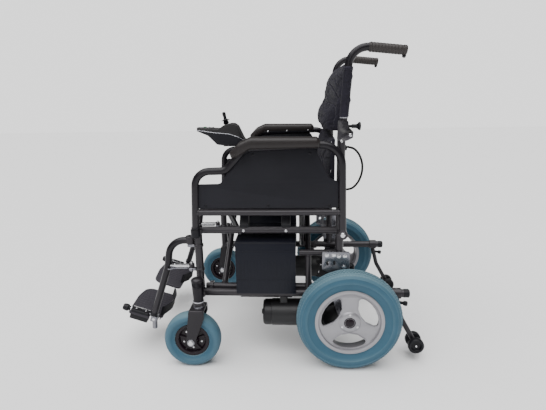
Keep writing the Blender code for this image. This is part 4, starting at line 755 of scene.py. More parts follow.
    def cut(self, tool: "Form") -> None:
        """Takes another piece's space out of this one.

        Args:
            tool: The space, which is used up.
        """
        pair = []
        for part in (self, tool):
            bmesh.ops.remove_doubles(part.shape, verts=part.shape.verts, dist=MERGE)
            bmesh.ops.triangulate(part.shape, faces=part.shape.faces)
            bmesh.ops.recalc_face_normals(part.shape, faces=part.shape.faces)
            if part.shape.calc_volume(signed=True) < 0:
                bmesh.ops.reverse_faces(part.shape, faces=part.shape.faces)
            pair.append(bpy.data.objects.new(part.name, part._closed()))
        body, space = pair
        knife = body.modifiers.new("cut", "BOOLEAN")
        knife.operation = "DIFFERENCE"
        knife.solver = "EXACT"
        knife.use_self = True
        knife.use_hole_tolerant = True
        knife.object = link(space)
        mesh = baked(body)
        bpy.data.objects.remove(space)
        self.looks = [next(k for k in Look if k.value.name == m.name) for m in mesh.materials]
        self.shape = bmesh.new()
        self.shape.from_mesh(mesh)
        bpy.data.meshes.remove(mesh)

    def done(self, sharp: float = 38.0) -> bpy.types.Object:
        """Closes the mesh and makes it an object, moved to the chair's own origin.

        Args:
            sharp: Faces that meet at more than this many degrees keep a hard edge.

        Returns:
            The object.
        """
        bmesh.ops.remove_doubles(self.shape, verts=self.shape.verts, dist=MERGE)
        bmesh.ops.recalc_face_normals(self.shape, faces=self.shape.faces)
        mesh = self._closed()
        mesh.transform(standing(AXLE_X, 0, 0))
        mesh.shade_smooth()
        mesh.set_sharp_from_angle(angle=math.radians(sharp))
        return link(bpy.data.objects.new(self.name, mesh))


def cloth_map(mesh: bpy.types.Mesh) -> None:
    """Gives a mesh a UV map in metres, taken straight on to whichever side each face looks."""
    layer = mesh.uv_layers.new(name="weave")
    for face in mesh.polygons:
        size = [abs(c) for c in face.normal]
        skip = size.index(max(size))
        kept = [i for i in range(3) if i != skip]
        for index in face.loop_indices:
            spot = mesh.vertices[mesh.loops[index].vertex_index].co
            layer.data[index].uv = (spot[kept[0]], spot[kept[1]])


def deliver(piece: bpy.types.Object, body: str, node: str) -> bpy.types.Object:
    """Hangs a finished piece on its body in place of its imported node.

    Args:
        piece: The finished piece.
        body: The body that it rides on.
        node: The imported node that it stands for.

    Returns:
        The piece.
    """
    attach(piece, body)
    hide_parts(node)
    LOG.info("%s: %d faces on %s", piece.name, len(piece.data.polygons), body)
    return piece


# Geometry Nodes


class Tree(Nodes):
    """A Geometry Nodes tree, built once and run on as many meshes as need it."""

    def __init__(self, name: str, **sizes: str) -> None:
        """Starts a tree whose inputs are a geometry, a shape, a finish and its sizes.

        Args:
            name: The tree's name.
            **sizes: The kind of each size's socket.
        """
        super().__init__(bpy.data.node_groups.new(name, "GeometryNodeTree"))
        face = self.tree.interface
        kinds = {"Geometry": "Geometry", "Shape": "Object", "Finish": "Material", **sizes}
        for label, kind in kinds.items():
            face.new_socket(label, in_out="INPUT", socket_type=f"NodeSocket{kind}")
        face.new_socket("Geometry", in_out="OUTPUT", socket_type="NodeSocketGeometry")
        entry = self.tree.nodes.new("NodeGroupInput")
        self.entry = {label: Wire(self, entry.outputs[label]) for label in kinds}

    def repeat(self, points: Any, **inputs: Any) -> "Tree":
        """Ends the tree: sets the shape on points, makes it real and dresses it.

        Args:
            points: Where the shape goes.
            **inputs: Its turn and its scale there.

        Returns:
            The tree.
        """
        shape = self.add("GeometryNodeObjectInfo", {"Object": self.entry["Shape"]}, "Geometry")
        placed = self.add("GeometryNodeInstanceOnPoints", {"Points": points, "Instance": shape, **inputs})
        real = self.add("GeometryNodeRealizeInstances", {0: placed})
        dressed = self.add("GeometryNodeSetMaterial", {0: real, "Material": self.entry["Finish"]})
        self.node("NodeGroupOutput", {0: dressed})
        return self

    def run(self, mesh: bpy.types.Mesh, shape: bpy.types.Object, look: Look, **sizes: Any) -> bpy.types.Mesh:
        """Runs the tree on a mesh.

        Args:
            mesh: The points or lines that it starts from.
            shape: The repeated shape.
            look: Its finish.
            **sizes: The tree's sizes, by name.

        Returns:
            The result as a plain mesh.
        """
        source = bpy.data.objects.new(self.tree.name, mesh)
        modifier = source.modifiers.new("nodes", "NODES")
        modifier.node_group = self.tree
        keys = {s.name: s.identifier for s in self.tree.interface.items_tree if s.in_out == "INPUT"}
        link(shape)
        for label, value in {"Shape": shape, "Finish": look.material(), **sizes}.items():
            modifier[keys[label]] = value
        made = baked(source)
        bpy.context.scene.collection.objects.unlink(shape)
        return made


def fixing_tree() -> Tree:
    """A tree that sets a fixing on each point, turned to the point's aim and scaled to its size."""
    tree = Tree("fixings")
    aim, size = (
        tree.add("GeometryNodeInputNamedAttribute", {"Name": name}, data_type="FLOAT_VECTOR")
        for name in ("aim", "size")
    )
    turned = tree.add("FunctionNodeAlignRotationToVector", {"Vector": aim}, axis="Z")
    points = tree.add("GeometryNodeMeshToPoints", {0: tree.entry["Geometry"]})
    return tree.repeat(points, Rotation=turned, Scale=size)


def tread_tree() -> Tree:
    """A tree that lays rows of tread blocks round a tyre that turns about the Y axis."""
    sizes = dict.fromkeys(("Rows", "Round", "Radius", "Pitch", "Drop"), "Float")
    tree = Tree("tread", **sizes)
    rows, rounds, radius, pitch, drop = (tree.entry[label] for label in sizes)
    index = tree.add("GeometryNodeInputIndex")
    points = tree.add("GeometryNodePoints", {0: tree.add("FunctionNodeFloatToInt", {0: rows * rounds})})
    row = index.math("MODULO", rows)
    middle = (rows - 1.0) / 2.0
    across = row - middle
    shift = row.math("MODULO", 2.0) * 0.5
    turn = ((index / rows).math("FLOOR") + shift) / rounds * (2 * math.pi)
    share = across.math("ABSOLUTE") / middle
    out = radius - share.math("POWER", 2.2) * drop
    spot = {0: turn.math("SINE") * out, 1: across * pitch, 2: turn.math("COSINE") * out}
    place = tree.add("ShaderNodeCombineXYZ", spot)
    moved = tree.add("GeometryNodeSetPosition", {0: points, "Position": place})
    lean = tree.add("ShaderNodeCombineXYZ", {0: across * share * -0.17, 1: turn})
    return tree.repeat(moved, Rotation=tree.add("FunctionNodeEulerToRotation", {0: lean}))


def row_tree() -> Tree:
    """A tree that repeats a shape in a straight row."""
    tree = Tree("row", Count="Int", Start="Vector", Step="Vector")
    count, start, step = (tree.entry[label] for label in ("Count", "Start", "Step"))
    line = {"Count": count, "Start Location": start, "Offset": step}
    return tree.repeat(tree.add("GeometryNodeMeshLine", line, mode="OFFSET"))


def stitch_tree() -> Tree:
    """A tree that lays stitches end to end along the input's lines."""
    tree = Tree("stitches", Pitch="Float")
    curve = tree.add("GeometryNodeMeshToCurve", {0: tree.entry["Geometry"]})
    spaced = tree.node("GeometryNodeCurveToPoints", {0: curve, "Length": tree.entry["Pitch"]}, mode="LENGTH")
    return tree.repeat(spaced.outputs[0], Rotation=spaced.outputs["Rotation"])


class Repeats:
    """The chair's repeated shapes and the trees that lay them out."""

    def __init__(self) -> None:
        """Builds every tree and every repeated shape once."""
        self.fixings = fixing_tree()
        self.tread = tread_tree()
        self.row = row_tree()
        self.stitch = stitch_tree()
        makers = {"bolt": self._bolt, "screw": self._screw, "block": self._block, "stitch": self._stitch}
        self.shapes = {kind: self._keep(make()) for kind, make in makers.items()}

    def _keep(self, form: Form) -> bpy.types.Object:
        """A form as an object that is in no collection, back at its own origin."""
        made = form.done()
        made.data.transform(standing(-AXLE_X, 0, 0))
        bpy.context.scene.collection.objects.unlink(made)
        return made

    def _bolt(self) -> Form:
        """A hexagon-headed bolt over a washer, one unit in radius and one tall."""
        form = Form("bolt_shape")
        form.plate(circle(0, 0, 1.0, 20), 0.22, standing(0, 0, 0.11), Look.BOLT, 0.04)
        hexagon = [(0.86 * c, 0.86 * s) for c, s in spokes(6)]
        form.plate(hexagon, 0.76, standing(0, 0, 0.60), Look.BOLT, 0.09)
        return form

    def _screw(self) -> Form:
        """A round-headed screw with a recess, one unit in radius."""
        form = Form("screw_shape")
        profile = [
            (0, 0.28), (0.20, 0.34), (0.34, 0.66), (0.62, 0.56), (0.86, 0.34), (1, 0.08), (1, 0), (0, 0),
        ]
        form.turn(profile, Matrix(), Look.BOLT, 16)
        return form

    def _block(self) -> Form:
        """A tread block with sloping sides."""
        form = Form("block_shape")
        shape = bmesh.new()
        bmesh.ops.create_cube(shape, size=1)
        for vert in shape.verts:
            top = vert.co.z > 0
            vert.co.x *= 0.0062 if top else 0.0078
            vert.co.y *= 0.0054 if top else 0.0070
            vert.co.z = 0.0 if top else -0.0065
        mesh = plain(())
        shape.to_mesh(mesh)
        shape.free()
        form.absorb(mesh, Look.TYRE)
        return form

    def _stitch(self) -> Form:
        """A short thread lying along Z, thick in its middle."""
        form = Form("stitch_shape")
        form.turn(mm(0, -1.6, 0.38, -1.3, 0.55, 0, 0.38, 1.3, 0, 1.6), Matrix(), Look.THREAD, 6)
        return form

    def fix(
        self, form: Form, spots: Sequence[tuple[Point, Point, float, float]], kind: str = "screw",
        look: Look = Look.BOLT,
    ) -> None:
        """Adds fixings to a piece.

        Args:
            form: The piece.
            spots: Each fixing's place, the way it points, its radius and its height.
            kind: Which repeated shape it is.
            look: Its finish.
        """
        mesh = plain([spot[0] for spot in spots])
        aim = mesh.attributes.new("aim", "FLOAT_VECTOR", "POINT")
        size = mesh.attributes.new("size", "FLOAT_VECTOR", "POINT")
        for i, (_, way, radius, height) in enumerate(spots):
            aim.data[i].vector = way
            size.data[i].vector = (radius, radius, height)
        form.absorb(self.fixings.run(mesh, self.shapes[kind], look), look)

    def add_row(self, form: Form, rib: Form, start: Point, step: Point, count: int, look: Look) -> None:
        """Adds a straight row of one shape to a piece.

        Args:
            form: The piece.
            rib: The shape, which is used up.
            start: The first one's place.
            step: From each one to the next.
            count: How many there are.
            look: Their finish.
        """
        made = self.row.run(plain([(0, 0, 0)]), self._keep(rib), look, Count=count, Start=start, Step=step)
        form.absorb(made, look)

    def sew(self, form: Form, lines: Sequence[Sequence[Point]], pitch: float) -> None:
        """Adds stitching along lines.

        Args:
            form: The piece.
            lines: The points of each line.
            pitch: From each stitch to the next.
        """
        verts: list[Point] = []
        edges: list[tuple[int, int]] = []
        for line in lines:
            edges += [(len(verts) + i, len(verts) + i + 1) for i in range(len(line) - 1)]
            verts += [tuple(p) for p in line]
        made = self.stitch.run(plain(verts, (), edges), self.shapes["stitch"], Look.THREAD, Pitch=pitch)
        form.absorb(made, Look.THREAD)


# Camera, floor and light


@dataclass
class Studio:
    """The photograph's view of the chair, a pale floor and soft light."""

    eye: Point = (0.09536, -1.52646, 0.82388)
    yaw: float = -3.482
    pitch: float = 14.030
    roll: float = -1.025
    lens: float = 29.42
    floor: Color = (0.90, 0.90, 0.90)
    sky: float = 0.12
    backdrop: float = 1.62
    power: float = 5.2

    def camera(self) -> None:
        """Sets the camera where the photograph was taken from."""
        yaw, pitch, roll = (math.radians(a) for a in (self.yaw, self.pitch, self.roll))
        ahead = Vector((math.sin(yaw) * math.cos(pitch), math.cos(yaw) * math.cos(pitch), -math.sin(pitch)))
        right = Vector((math.cos(yaw), -math.sin(yaw), 0))
        up = right.cross(ahead)
        turned_right = right * math.cos(roll) + up * math.sin(roll)
        turned_up = up * math.cos(roll) - right * math.sin(roll)
        data = bpy.data.cameras.new("view")
        data.sensor_width = 36
        data.lens = self.lens
        data.clip_start = 0.05
        made = link(bpy.data.objects.new("view", data))
        rows = Matrix((turned_right, turned_up, -ahead)).transposed().to_4x4()
        made.matrix_world = Matrix.Translation(self.eye) @ rows
        bpy.context.scene.camera = made

    def ground(self) -> None:
        """Lays the floor."""
        made = Recipe("floor_paper")
        base = made.mix(made.noise(2.0), self.floor, tuple(c * 0.985 for c in self.floor))
        mesh = bpy.data.meshes.new("floor")
        mesh.from_pydata([(-9, -9, 0), (9, -9, 0), (9, 9, 0), (-9, 9, 0)], [], [(0, 1, 2, 3)])
        mesh.materials.append(made.done(Base_Color=base, Roughness=0.75, Specular_IOR_Level=0.2))
        link(bpy.data.objects.new("floor", mesh))

    def lamp(self, name: str, tilt: tuple[float, float], strength: float, spread: float) -> None:
        """Hangs a large soft light far away.

        Args:
            name: Its name.
            tilt: How far it is tipped about x and y from straight overhead, in degrees.
            strength: Its strength.
            spread: How wide it looks, in degrees.
        """
        data = bpy.data.lights.new(name, "SUN")
        data.angle = math.radians(spread)
        data.energy = strength
        made = link(bpy.data.objects.new(name, data))
        made.rotation_euler = (math.radians(tilt[0]), math.radians(tilt[1]), 0)

    def build(self) -> None:
        """Makes the camera, the floor, the sky and the lights."""
        self.camera()
        self.ground()
        world = bpy.data.worlds.new("studio")
        world.use_nodes = True
        sky = world.node_tree.nodes["Background"]
        sky.inputs["Color"].default_value = (1.0, 1.0, 1.0, 1.0)
        nodes = Nodes(world.node_tree)
        seen = nodes.add("ShaderNodeLightPath", output="Is Camera Ray")
        level = nodes.add("ShaderNodeMapRange", {"Value": seen, "To Min": self.sky, "To Max": self.backdrop})
        world.node_tree.links.new(level.socket, sky.inputs["Strength"])
        bpy.context.scene.world = world
        self.lamp("overhead", (12, -8), self.power, 80)
        self.lamp("near_left", (62, -30), self.power * 0.10, 40)


# The chair's sub-assemblies


@dataclass
class CableLoop:
    """The short loop of control cable between the rear posts' two grommets."""

    y: float = -0.200
    inlet: float = -0.0096
    straight: float = 0.0066
    top: float = 0.667
    foot: float = 0.540
    radius: float = 0.0033
    knots: tuple[tuple[float, float], ...] = (
        (0.014, 0.661), (0.029, 0.643), (0.038, 0.616), (0.037, 0.588), (0.027, 0.562), (0.012, 0.545),
    )

    def route(self) -> list[Vector]:
        """The cable's centre line from its upper end to its lower one."""
        inner = self.inlet + self.straight
        row = [
            (self.inlet, self.top), (inner, self.top), *self.knots,
            (inner, self.foot), (self.inlet, self.foot),
        ]
        return flowing([(x, self.y, z) for x, z in row], 4)

    def build(self) -> None:
        path = self.route()
        form = Form("cable")
        form.sweep(path, self.radius, Look.CORD, 16, 0.0001)
        made = deliver(form.done(), "left_frame", "cable_loop")
        moved = [p + Vector((AXLE_X, 0, 0)) for p in path]
        length = sum((b - a).length for a, b in zip(moved, moved[1:]))


@dataclass
class Sided:
    """A sub-assembly that the chair has on each side."""

    side: Side
    repeats: Repeats

    @property
    def sign(self) -> int:
        """The sign of the side's Y values."""
        return self.side.value

    def form(self, name: str) -> Form:
        """An empty piece with the side in its name."""
        return Form(f"{self.side.label}_{name}")

    def hang(
        self, form: Form, sharp: float, body: str, slot: str, node: str, mapped: bool = False
    ) -> bpy.types.Object:
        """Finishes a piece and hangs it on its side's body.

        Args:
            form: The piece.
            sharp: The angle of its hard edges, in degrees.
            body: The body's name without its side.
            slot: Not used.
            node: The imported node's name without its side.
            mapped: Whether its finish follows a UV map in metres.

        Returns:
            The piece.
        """
        label = self.side.label
        made = form.done(sharp)
        if mapped:
            cloth_map(made.data)
        return deliver(made, f"{label}_{body}", f"{label}_{node}")


@dataclass
class SideFrame(Sided):
    """One welded side of the frame, with its post seats, tray, lugs and back bracket."""

    y: float = 0.232
    post_x: float = -0.460
    rear_x: float = -0.028
    prop_x: float = -0.122
    low_z: float = 0.217
    high_z: float = 0.422
    stay_z: float = 0.350
    stem_x: float = -0.457
    hinge_x: float = -0.486

    def tubes(self, form: Form) -> None:
        """Adds the frame's tubes and the welds between them."""
        y = self.sign * self.y
        post, rear, prop, low, high, stay = (
            self.post_x, self.rear_x, self.prop_x, self.low_z, self.high_z, self.stay_z,
        )
        for x0, z0, x1, z1, radius in (
            (post, 0.202, post, 0.438, 0.0125), (post, low, 0.183, low, 0.0125),
            (post, high, rear, high, 0.011), (rear, 0.212, rear, 0.7025, 0.012),
            (-0.150, stay, rear, stay, 0.0095), (prop, low, prop, stay, 0.009),
        ):
            form.sweep([(x0, y, z0), (x1, y, z1)], radius, Look.FRAME, 28, 0.0012)
        for x, z, tube, run in (
            (post, low, 0.0125, 0.0125), (post, high, 0.0125, 0.011), (rear, high, 0.012, 0.011),
            (rear, stay, 0.012, 0.0095),
        ):
            way = 1 if x == post else -1
            self._weld(form, (x + way * (tube - 0.0012), y, z), (way, 0, 0), run)
        self._weld(form, (rear, y, low + 0.0115), (0, 0, 1), 0.012)
        self._weld(form, (prop, y, low + 0.0115), (0, 0, 1), 0.009)
        self._weld(form, (prop, y, stay - 0.0085), (0, 0, -1), 0.009)

    def _weld(self, form: Form, spot: Point, way: Point, radius: float) -> None:
        """Adds a weld's fillet round the end of a tube.

        Args:
            form: The piece.
            spot: The middle of the tube's end.
            way: From the joint along the tube.
            radius: The tube's radius.
        """
        profile = [(radius - 0.001, -0.002), (radius + 0.0022, -0.001), (radius + 0.0014, 0.0016)]
        form.ring([*profile, (radius - 0.001, 0.0034)], aimed(spot, Vector(way)), Look.FRAME, 28)

    def seats(self, form: Form) -> None:
        """Adds the tube ends, the seat rails' rests, the battery tray and the hanger's hinges."""
        sign = self.sign
        y = sign * self.y
        post = standing(self.post_x, y, 0)
        form.disc(0.0135, 0.170, 0.190, along_x(0, y, self.low_z), Look.PLASTIC, 0.003)
        form.disc(0.0128, 0.430, 0.4385, post, Look.PLASTIC, 0.003)
        form.disc(0.0128, 0.2015, 0.206, post, Look.PLASTIC, 0.002)
        cradle = mm(
            196, 424, 196, 470.5, 200.5, 471.2, 206, 467.2, 211.5, 471.2, 216, 470.5, 222.5, 452, 237.5, 440,
            237.5, 424,
        )
        for x in (-0.317, -0.190):
            form.plate([(sign * a, b) for a, b in cradle], 0.027, crossways(x), Look.PLASTIC, 0.0012)
        form.slab((-0.335, sign * 0.1105, 0.2012), (-0.172, sign * 0.2355, 0.2040), Look.FRAME, 0.0008)
        form.slab((-0.335, sign * 0.1105, 0.2012), (-0.172, sign * 0.1130, 0.2068), Look.FRAME, 0.0008)
        hinge = standing(self.hinge_x, y, 0)
        for top in (0.3781, 0.2996):
            form.disc(0.0146, top - 0.010, top, post, Look.FRAME, 0.0015)
            form.slab(
                (self.hinge_x, y - 0.0068, top - 0.0097), (-0.470, y + 0.0068, top - 0.0003), Look.ZINC,
                0.0012,
            )
            form.disc(0.0094, top - 0.0098, top - 0.0002, hinge, Look.ZINC, 0.0012)
            pin = [(0, top + 0.0188), (0.0026, top + 0.0185), (0.0048, top + 0.0155)]
            form.turn([*pin, (0.0049, top - 0.006), (0, top - 0.006)], hinge, Look.BOLT, 20)

    def barrel(self, form: Form) -> None:
        """Adds the caster's barrel with its ribbed cap, its web and the lower tube's bearing rings."""
        sign = self.sign
        barrel = standing(self.stem_x, sign * 0.290, 0)
        profile = mm(0, 290.8, 11, 289.2, 17.2, 286.2, 19.6, 282.6, 19.8, 279.5, 18.8, 278.2)
        for i in range(5):
            low = 0.2760 - i * 0.0034
            profile += [(0.0192 - i * 0.0003, low), (0.0180 - i * 0.0003, low - 0.0017)]
        profile += mm(17.6, 258, 14.8, 218.5, 16, 216, 16.6, 210, 16.6, 201.5, 0, 201.5)
        form.turn(profile, barrel, Look.FRAME, 32)
        form.ring(mm(15, 214.8, 17.2, 214.2, 17.2, 211.8, 15, 211.2), barrel, Look.LINE, 32)
        web = [(sign * a, b) for a, b in mm(236, 213, 288, 213, 288, 269, 236, 262)]
        form.plate(rounded(web, 0.003), 0.0076, crossways(self.stem_x), Look.FRAME, 0.0015)
        bearing = mm(11.5, -5.8, 16.3, -5.5, 16.3, 5.5, 11.5, 5.8)
        for x in (-0.430, -0.250, -0.085):
            form.ring(bearing, along_x(x, sign * 0.206, 0.226), Look.FRAME, 32)
            form.slab((x - 0.0048, sign * 0.218, 0.2152), (x + 0.0048, sign * 0.230, 0.2298), Look.FRAME)

    def arm_seats(self, form: Form) -> None:
        """Adds the armrest's front cup and rear pivot bolt."""
        sign = self.sign
        cup = mm(0, 408.4, 12.8, 408.4, 14, 409.8, 14.2, 432.2, 13.4, 432.8, 12.2, 432, 11.8, 412.8, 0, 412.8)
        form.turn(cup, standing(self.post_x, sign * 0.263, 0), Look.PLASTIC, 32)
        form.slab((-0.469, sign * 0.233, 0.4093), (-0.451, sign * 0.257, 0.4242), Look.FRAME, 0.0015)
        bolt = mm(0, 278.8, 5.8, 278, 7.9, 275.2, 5, 274.5, 5, 226, 0, 226)
        form.turn(bolt, outward(-0.022, 0, 0.418, sign), Look.BOLT, 20)

    def back_bracket(self, form: Form) -> None:
        """Adds the hinge bracket of the back cane."""
        sign = self.sign
        outline = rounded(
            mm(-39.5, 690, -14, 690, 3.5, 698, 4.5, 715, -8.5, 728, -10.5, 746, -37.5, 746), 0.004
        )
        for cheek in (-0.0133, 0.0133):
            form.plate(outline, 0.0029, upright(sign * (self.y + cheek)), Look.METAL, 0.0007)
        form.slab((-0.0392, sign * 0.2187, 0.6905), (-0.0168, sign * 0.2453, 0.6998), Look.ZINC, 0.0015)
        pin = mm(0, 13.9, 3.6, 13.9, 3.9, 13.5, 3.9, -13.5, 0, -13.9)
        form.turn(pin, outward(-0.004, sign * self.y, 0.706, sign), Look.BOLT, 20)
        spots = [((-0.004, sign * (self.y + 0.0146), 0.706), (0, sign, 0), 0.0048, 0.0026)]
        spots += [((-0.0285, sign * (self.y + 0.0147), 0.689), (0, sign, 0), 0.0042, 0.0024)]
        self.repeats.fix(form, spots)

    def bolts(self, form: Form) -> None:
        """Adds the bolts along the upper tube and at the front post."""
        sign = self.sign
        outer = sign * (self.y + 0.0106)
        spots = [((x, outer, self.high_z), (0, sign, 0), 0.0046, 0.0030) for x in (-0.318, -0.189)]
        for way, z, height in ((1, 0.372, 0.0050), (-1, 0.350, 0.0026), (-1, 0.262, 0.0026)):
            spots.append(((self.post_x + way * 0.0120, sign * self.y, z), (way, 0, 0), 0.0042, height))
        self.repeats.fix(form, spots)

    def grommets(self, form: Form) -> None:
        """Adds the near side's cable clips, where the cable's two ends go in."""
        for z in (0.667, 0.540):
            form.slab((-0.028, -0.2255, z - 0.0068), (-0.0102, -0.1925, z + 0.0068), Look.PLASTIC, 0.0025)
            form.ring(mm(3.4, 0.6, 5.8, 0.6, 6, -2, 3.4, -2), along_x(-0.0108, -0.200, z), Look.PLASTIC, 20)

    def build(self) -> None:
        """Makes this side of the frame."""
        form = self.form("frame_side")
        for step in (self.tubes, self.seats, self.barrel, self.arm_seats, self.back_bracket, self.bolts):
            step(form)
        if self.side is Side.LEFT:
            self.grommets(form)
        self.hang(form, 38, "frame", "frame_black", "side_frame")


@dataclass
class CrossBrace:
    """One arm pair of the folding cross brace, with its lower tube and its seat rail."""

    name: str
    low_side: int
    arms: tuple[float, float]
    repeats: Repeats
    rail_y: float = 0.206
    low_z: float = 0.226
    rail_z: float = 0.478
    rail_ends: tuple[float, float] = (-0.440, -0.060)

    def build(self) -> None:
        """Makes the brace."""
        low = self.low_side * self.rail_y
        form = Form(f"brace_{self.name}")
        form.sweep([(-0.448, low, self.low_z), (-0.060, low, self.low_z)], 0.0108, Look.FRAME, 24)
        form.sweep([(x, -low, self.rail_z) for x in self.rail_ends], 0.0108, Look.FRAME, 24)
        for end, way in zip(self.rail_ends, (-1, 1)):
            place = along_x(end - way * 0.0018, -low, self.rail_z)
            form.disc(0.0109, -0.002, 0.002, place, Look.PLASTIC, 0.001)
        lean = Vector((0, -2 * low, 0.252)).normalized()
        collar = mm(8.5, 3, 11.5, 4.5, 10.5, 8.5, 8.5, 10)
        for x in self.arms:
            start = Vector((x, low, self.low_z)) + lean * 0.006
            end = Vector((x, -low, self.rail_z)) - lean * 0.006
            form.sweep([start, end], 0.0094, Look.FRAME, 24)
            form.ring(collar, aimed(start, lean), Look.FRAME, 24)
            form.ring(collar, aimed(end, -lean), Look.FRAME, 24)
        screws = (-0.412, -0.330, -0.250, -0.170, -0.088)
        self.repeats.fix(form, [((x, -low * 0.9985, 0.4886), (0, 0, 1), 0.0038, 0.0013) for x in screws])
        if self.low_side < 0:
            for low_x, high_x in mm(-400.6, -357.4, -151.6, -108.4):
                bolt = [(0, high_x), (0.0070, high_x), (0.0072, high_x - 0.003), (0.0038, high_x - 0.0035)]
                bolt += [(0.0038, low_x + 0.0035), (0.0072, low_x + 0.003), (0.0070, low_x), (0, low_x)]
                form.turn(bolt, along_x(0, 0, 0.352), Look.BOLT, 24)
        deliver(form.done(), f"brace_{self.name}", f"cross_brace_{self.name}")


@dataclass
class DriveWheel(Sided):
    """A drive wheel: a solid knobbly tyre on a three-spoke silver casting."""

    y: float = 0.294
    z: float = 0.159
    windows: tuple[float, ...] = (30.0, 150.0, 270.0)

    @property
    def axle(self) -> Matrix:
        """The wheel's middle, with Z out from the chair."""
        return outward(0, self.sign * self.y, self.z, self.sign)

    def tyre(self) -> None:
        """Makes the tyre with its tread."""
        form = self.form("tyre_blue")
        half = mm(
            156.5, 0, 156.2, 8, 154.9, 15, 152.2, 20.8, 148.2, 25, 144, 27.6, 143.2, 28.3, 141.6, 28.5,
            140.4, 27.8, 133, 29.6, 126.2, 29, 125.2, 27.9, 118, 25, 109, 21.4, 103.2, 20.2, 100.6, 17.2,
        )
        form.ring(mirrored(half), self.axle, Look.TYRE, 144)
        tread = self.repeats.tread.run(
            plain([(0, 0, 0)]), self.repeats.shapes["block"], Look.TYRE, Rows=7.0, Round=104.0, Radius=0.1588,
            Pitch=0.0072, Drop=0.0072,
        )
        form.absorb(tread, Look.TYRE, standing(0, self.sign * self.y, self.z))
        self.hang(form, 30, "wheel", "tyre_blue", "drive_tyre")

    def window(self, middle: float) -> list[tuple[float, float]]:
        """The edge of one opening of the wheel's face, by the angle of its middle in degrees."""
        corners = []
        for radius, angle in (
            (0.0355, 0), (0.0470, -32), (0.0850, -43), (0.0872, -28), (0.0872, -14), (0.0872, 0),
            (0.0872, 14), (0.0872, 28), (0.0850, 43), (0.0470, 32),
        ):
            turn = math.radians(middle + angle)
            corners.append((radius * math.cos(turn), radius * math.sin(turn)))
        return rounded(corners, [0.030, 0.009, 0.011, *[0.03] * 5, 0.011, 0.009])

    def rim(self) -> None:
        """Makes the casting with its raised edges, its hub, its cap and its bolts."""
        axle = self.axle
        form = self.form("rim_silver")
        barrel = mm(
            100, 17.6, 103.4, 21.4, 103.2, 22.8, 101.6, 23.6, 95.6, 24, 92.8, 23, 91.6, 20.6, 90.8, 18,
            89.6, 0, 90.8, -18, 92.8, -23, 101.6, -23.6, 103.4, -21.4, 100, -17.6, 98.4, 0,
        )
        form.ring(barrel, axle, Look.RIM, 96)
        windows = [self.window(-self.sign * a) for a in self.windows]
        face = axle @ standing(0, 0, 0.013)
        form.plate(circle(0, 0, 0.0930, 96), 0.0098, face, Look.RIM, 0.0014, windows)
        for window in windows:
            self._lip(form, [axle @ Vector((x, y, 0.0172)) for x, y in window])
        hub = mm(
            0, 23.2, 18, 23.2, 26.5, 22.6, 30.5, 20.6, 33.5, 18, 34.5, 12, 26.2, -3.8, 24.2, -25.8, 9, -26,
            8.8, -56.1, 0, -56.3,
        )
        form.turn(hub, axle, Look.RIM, 48)
        cap = mm(0, 27.2, 7.5, 26.4, 12.8, 24, 14, 23, 15, 23.6, 16.6, 23.8, 17.8, 23, 17.8, 21.6, 0, 21.6)
        form.turn(cap, axle, Look.CAP, 40)
        spots = [axle @ Vector((0.0262 * c, 0.0262 * s, 0.0226)) for c, s in spokes(3, 90)]
        self.repeats.fix(form, [(spot, (0, self.sign, 0), 0.0036, 0.0030) for spot in spots], "bolt")
        self.hang(form, 34, "wheel", "rim_silver", "drive_wheel")

    def _lip(self, form: Form, points: list[Vector]) -> None:
        """Adds a raised bead round one opening, by the points of its edge."""
        sides, radius = 8, 0.0022
        out = Vector((0, self.sign, 0))
        verts, faces = [], []
        last = len(points)
        for i, point in enumerate(points):
            along = (points[(i + 1) % last] - points[i - 1]).normalized()
            across = along.cross(out)
            for j in range(sides):
                turn = 2 * math.pi * j / sides
                verts.append(point + (across * math.cos(turn) + out * math.sin(turn)) * radius)
            faces += band(i * sides, ((i + 1) % last) * sides, sides)
        form.absorb(plain(verts, faces), Look.RIM)

    def build(self) -> None:
        """Makes the wheel."""
        self.tyre()
        self.rim()


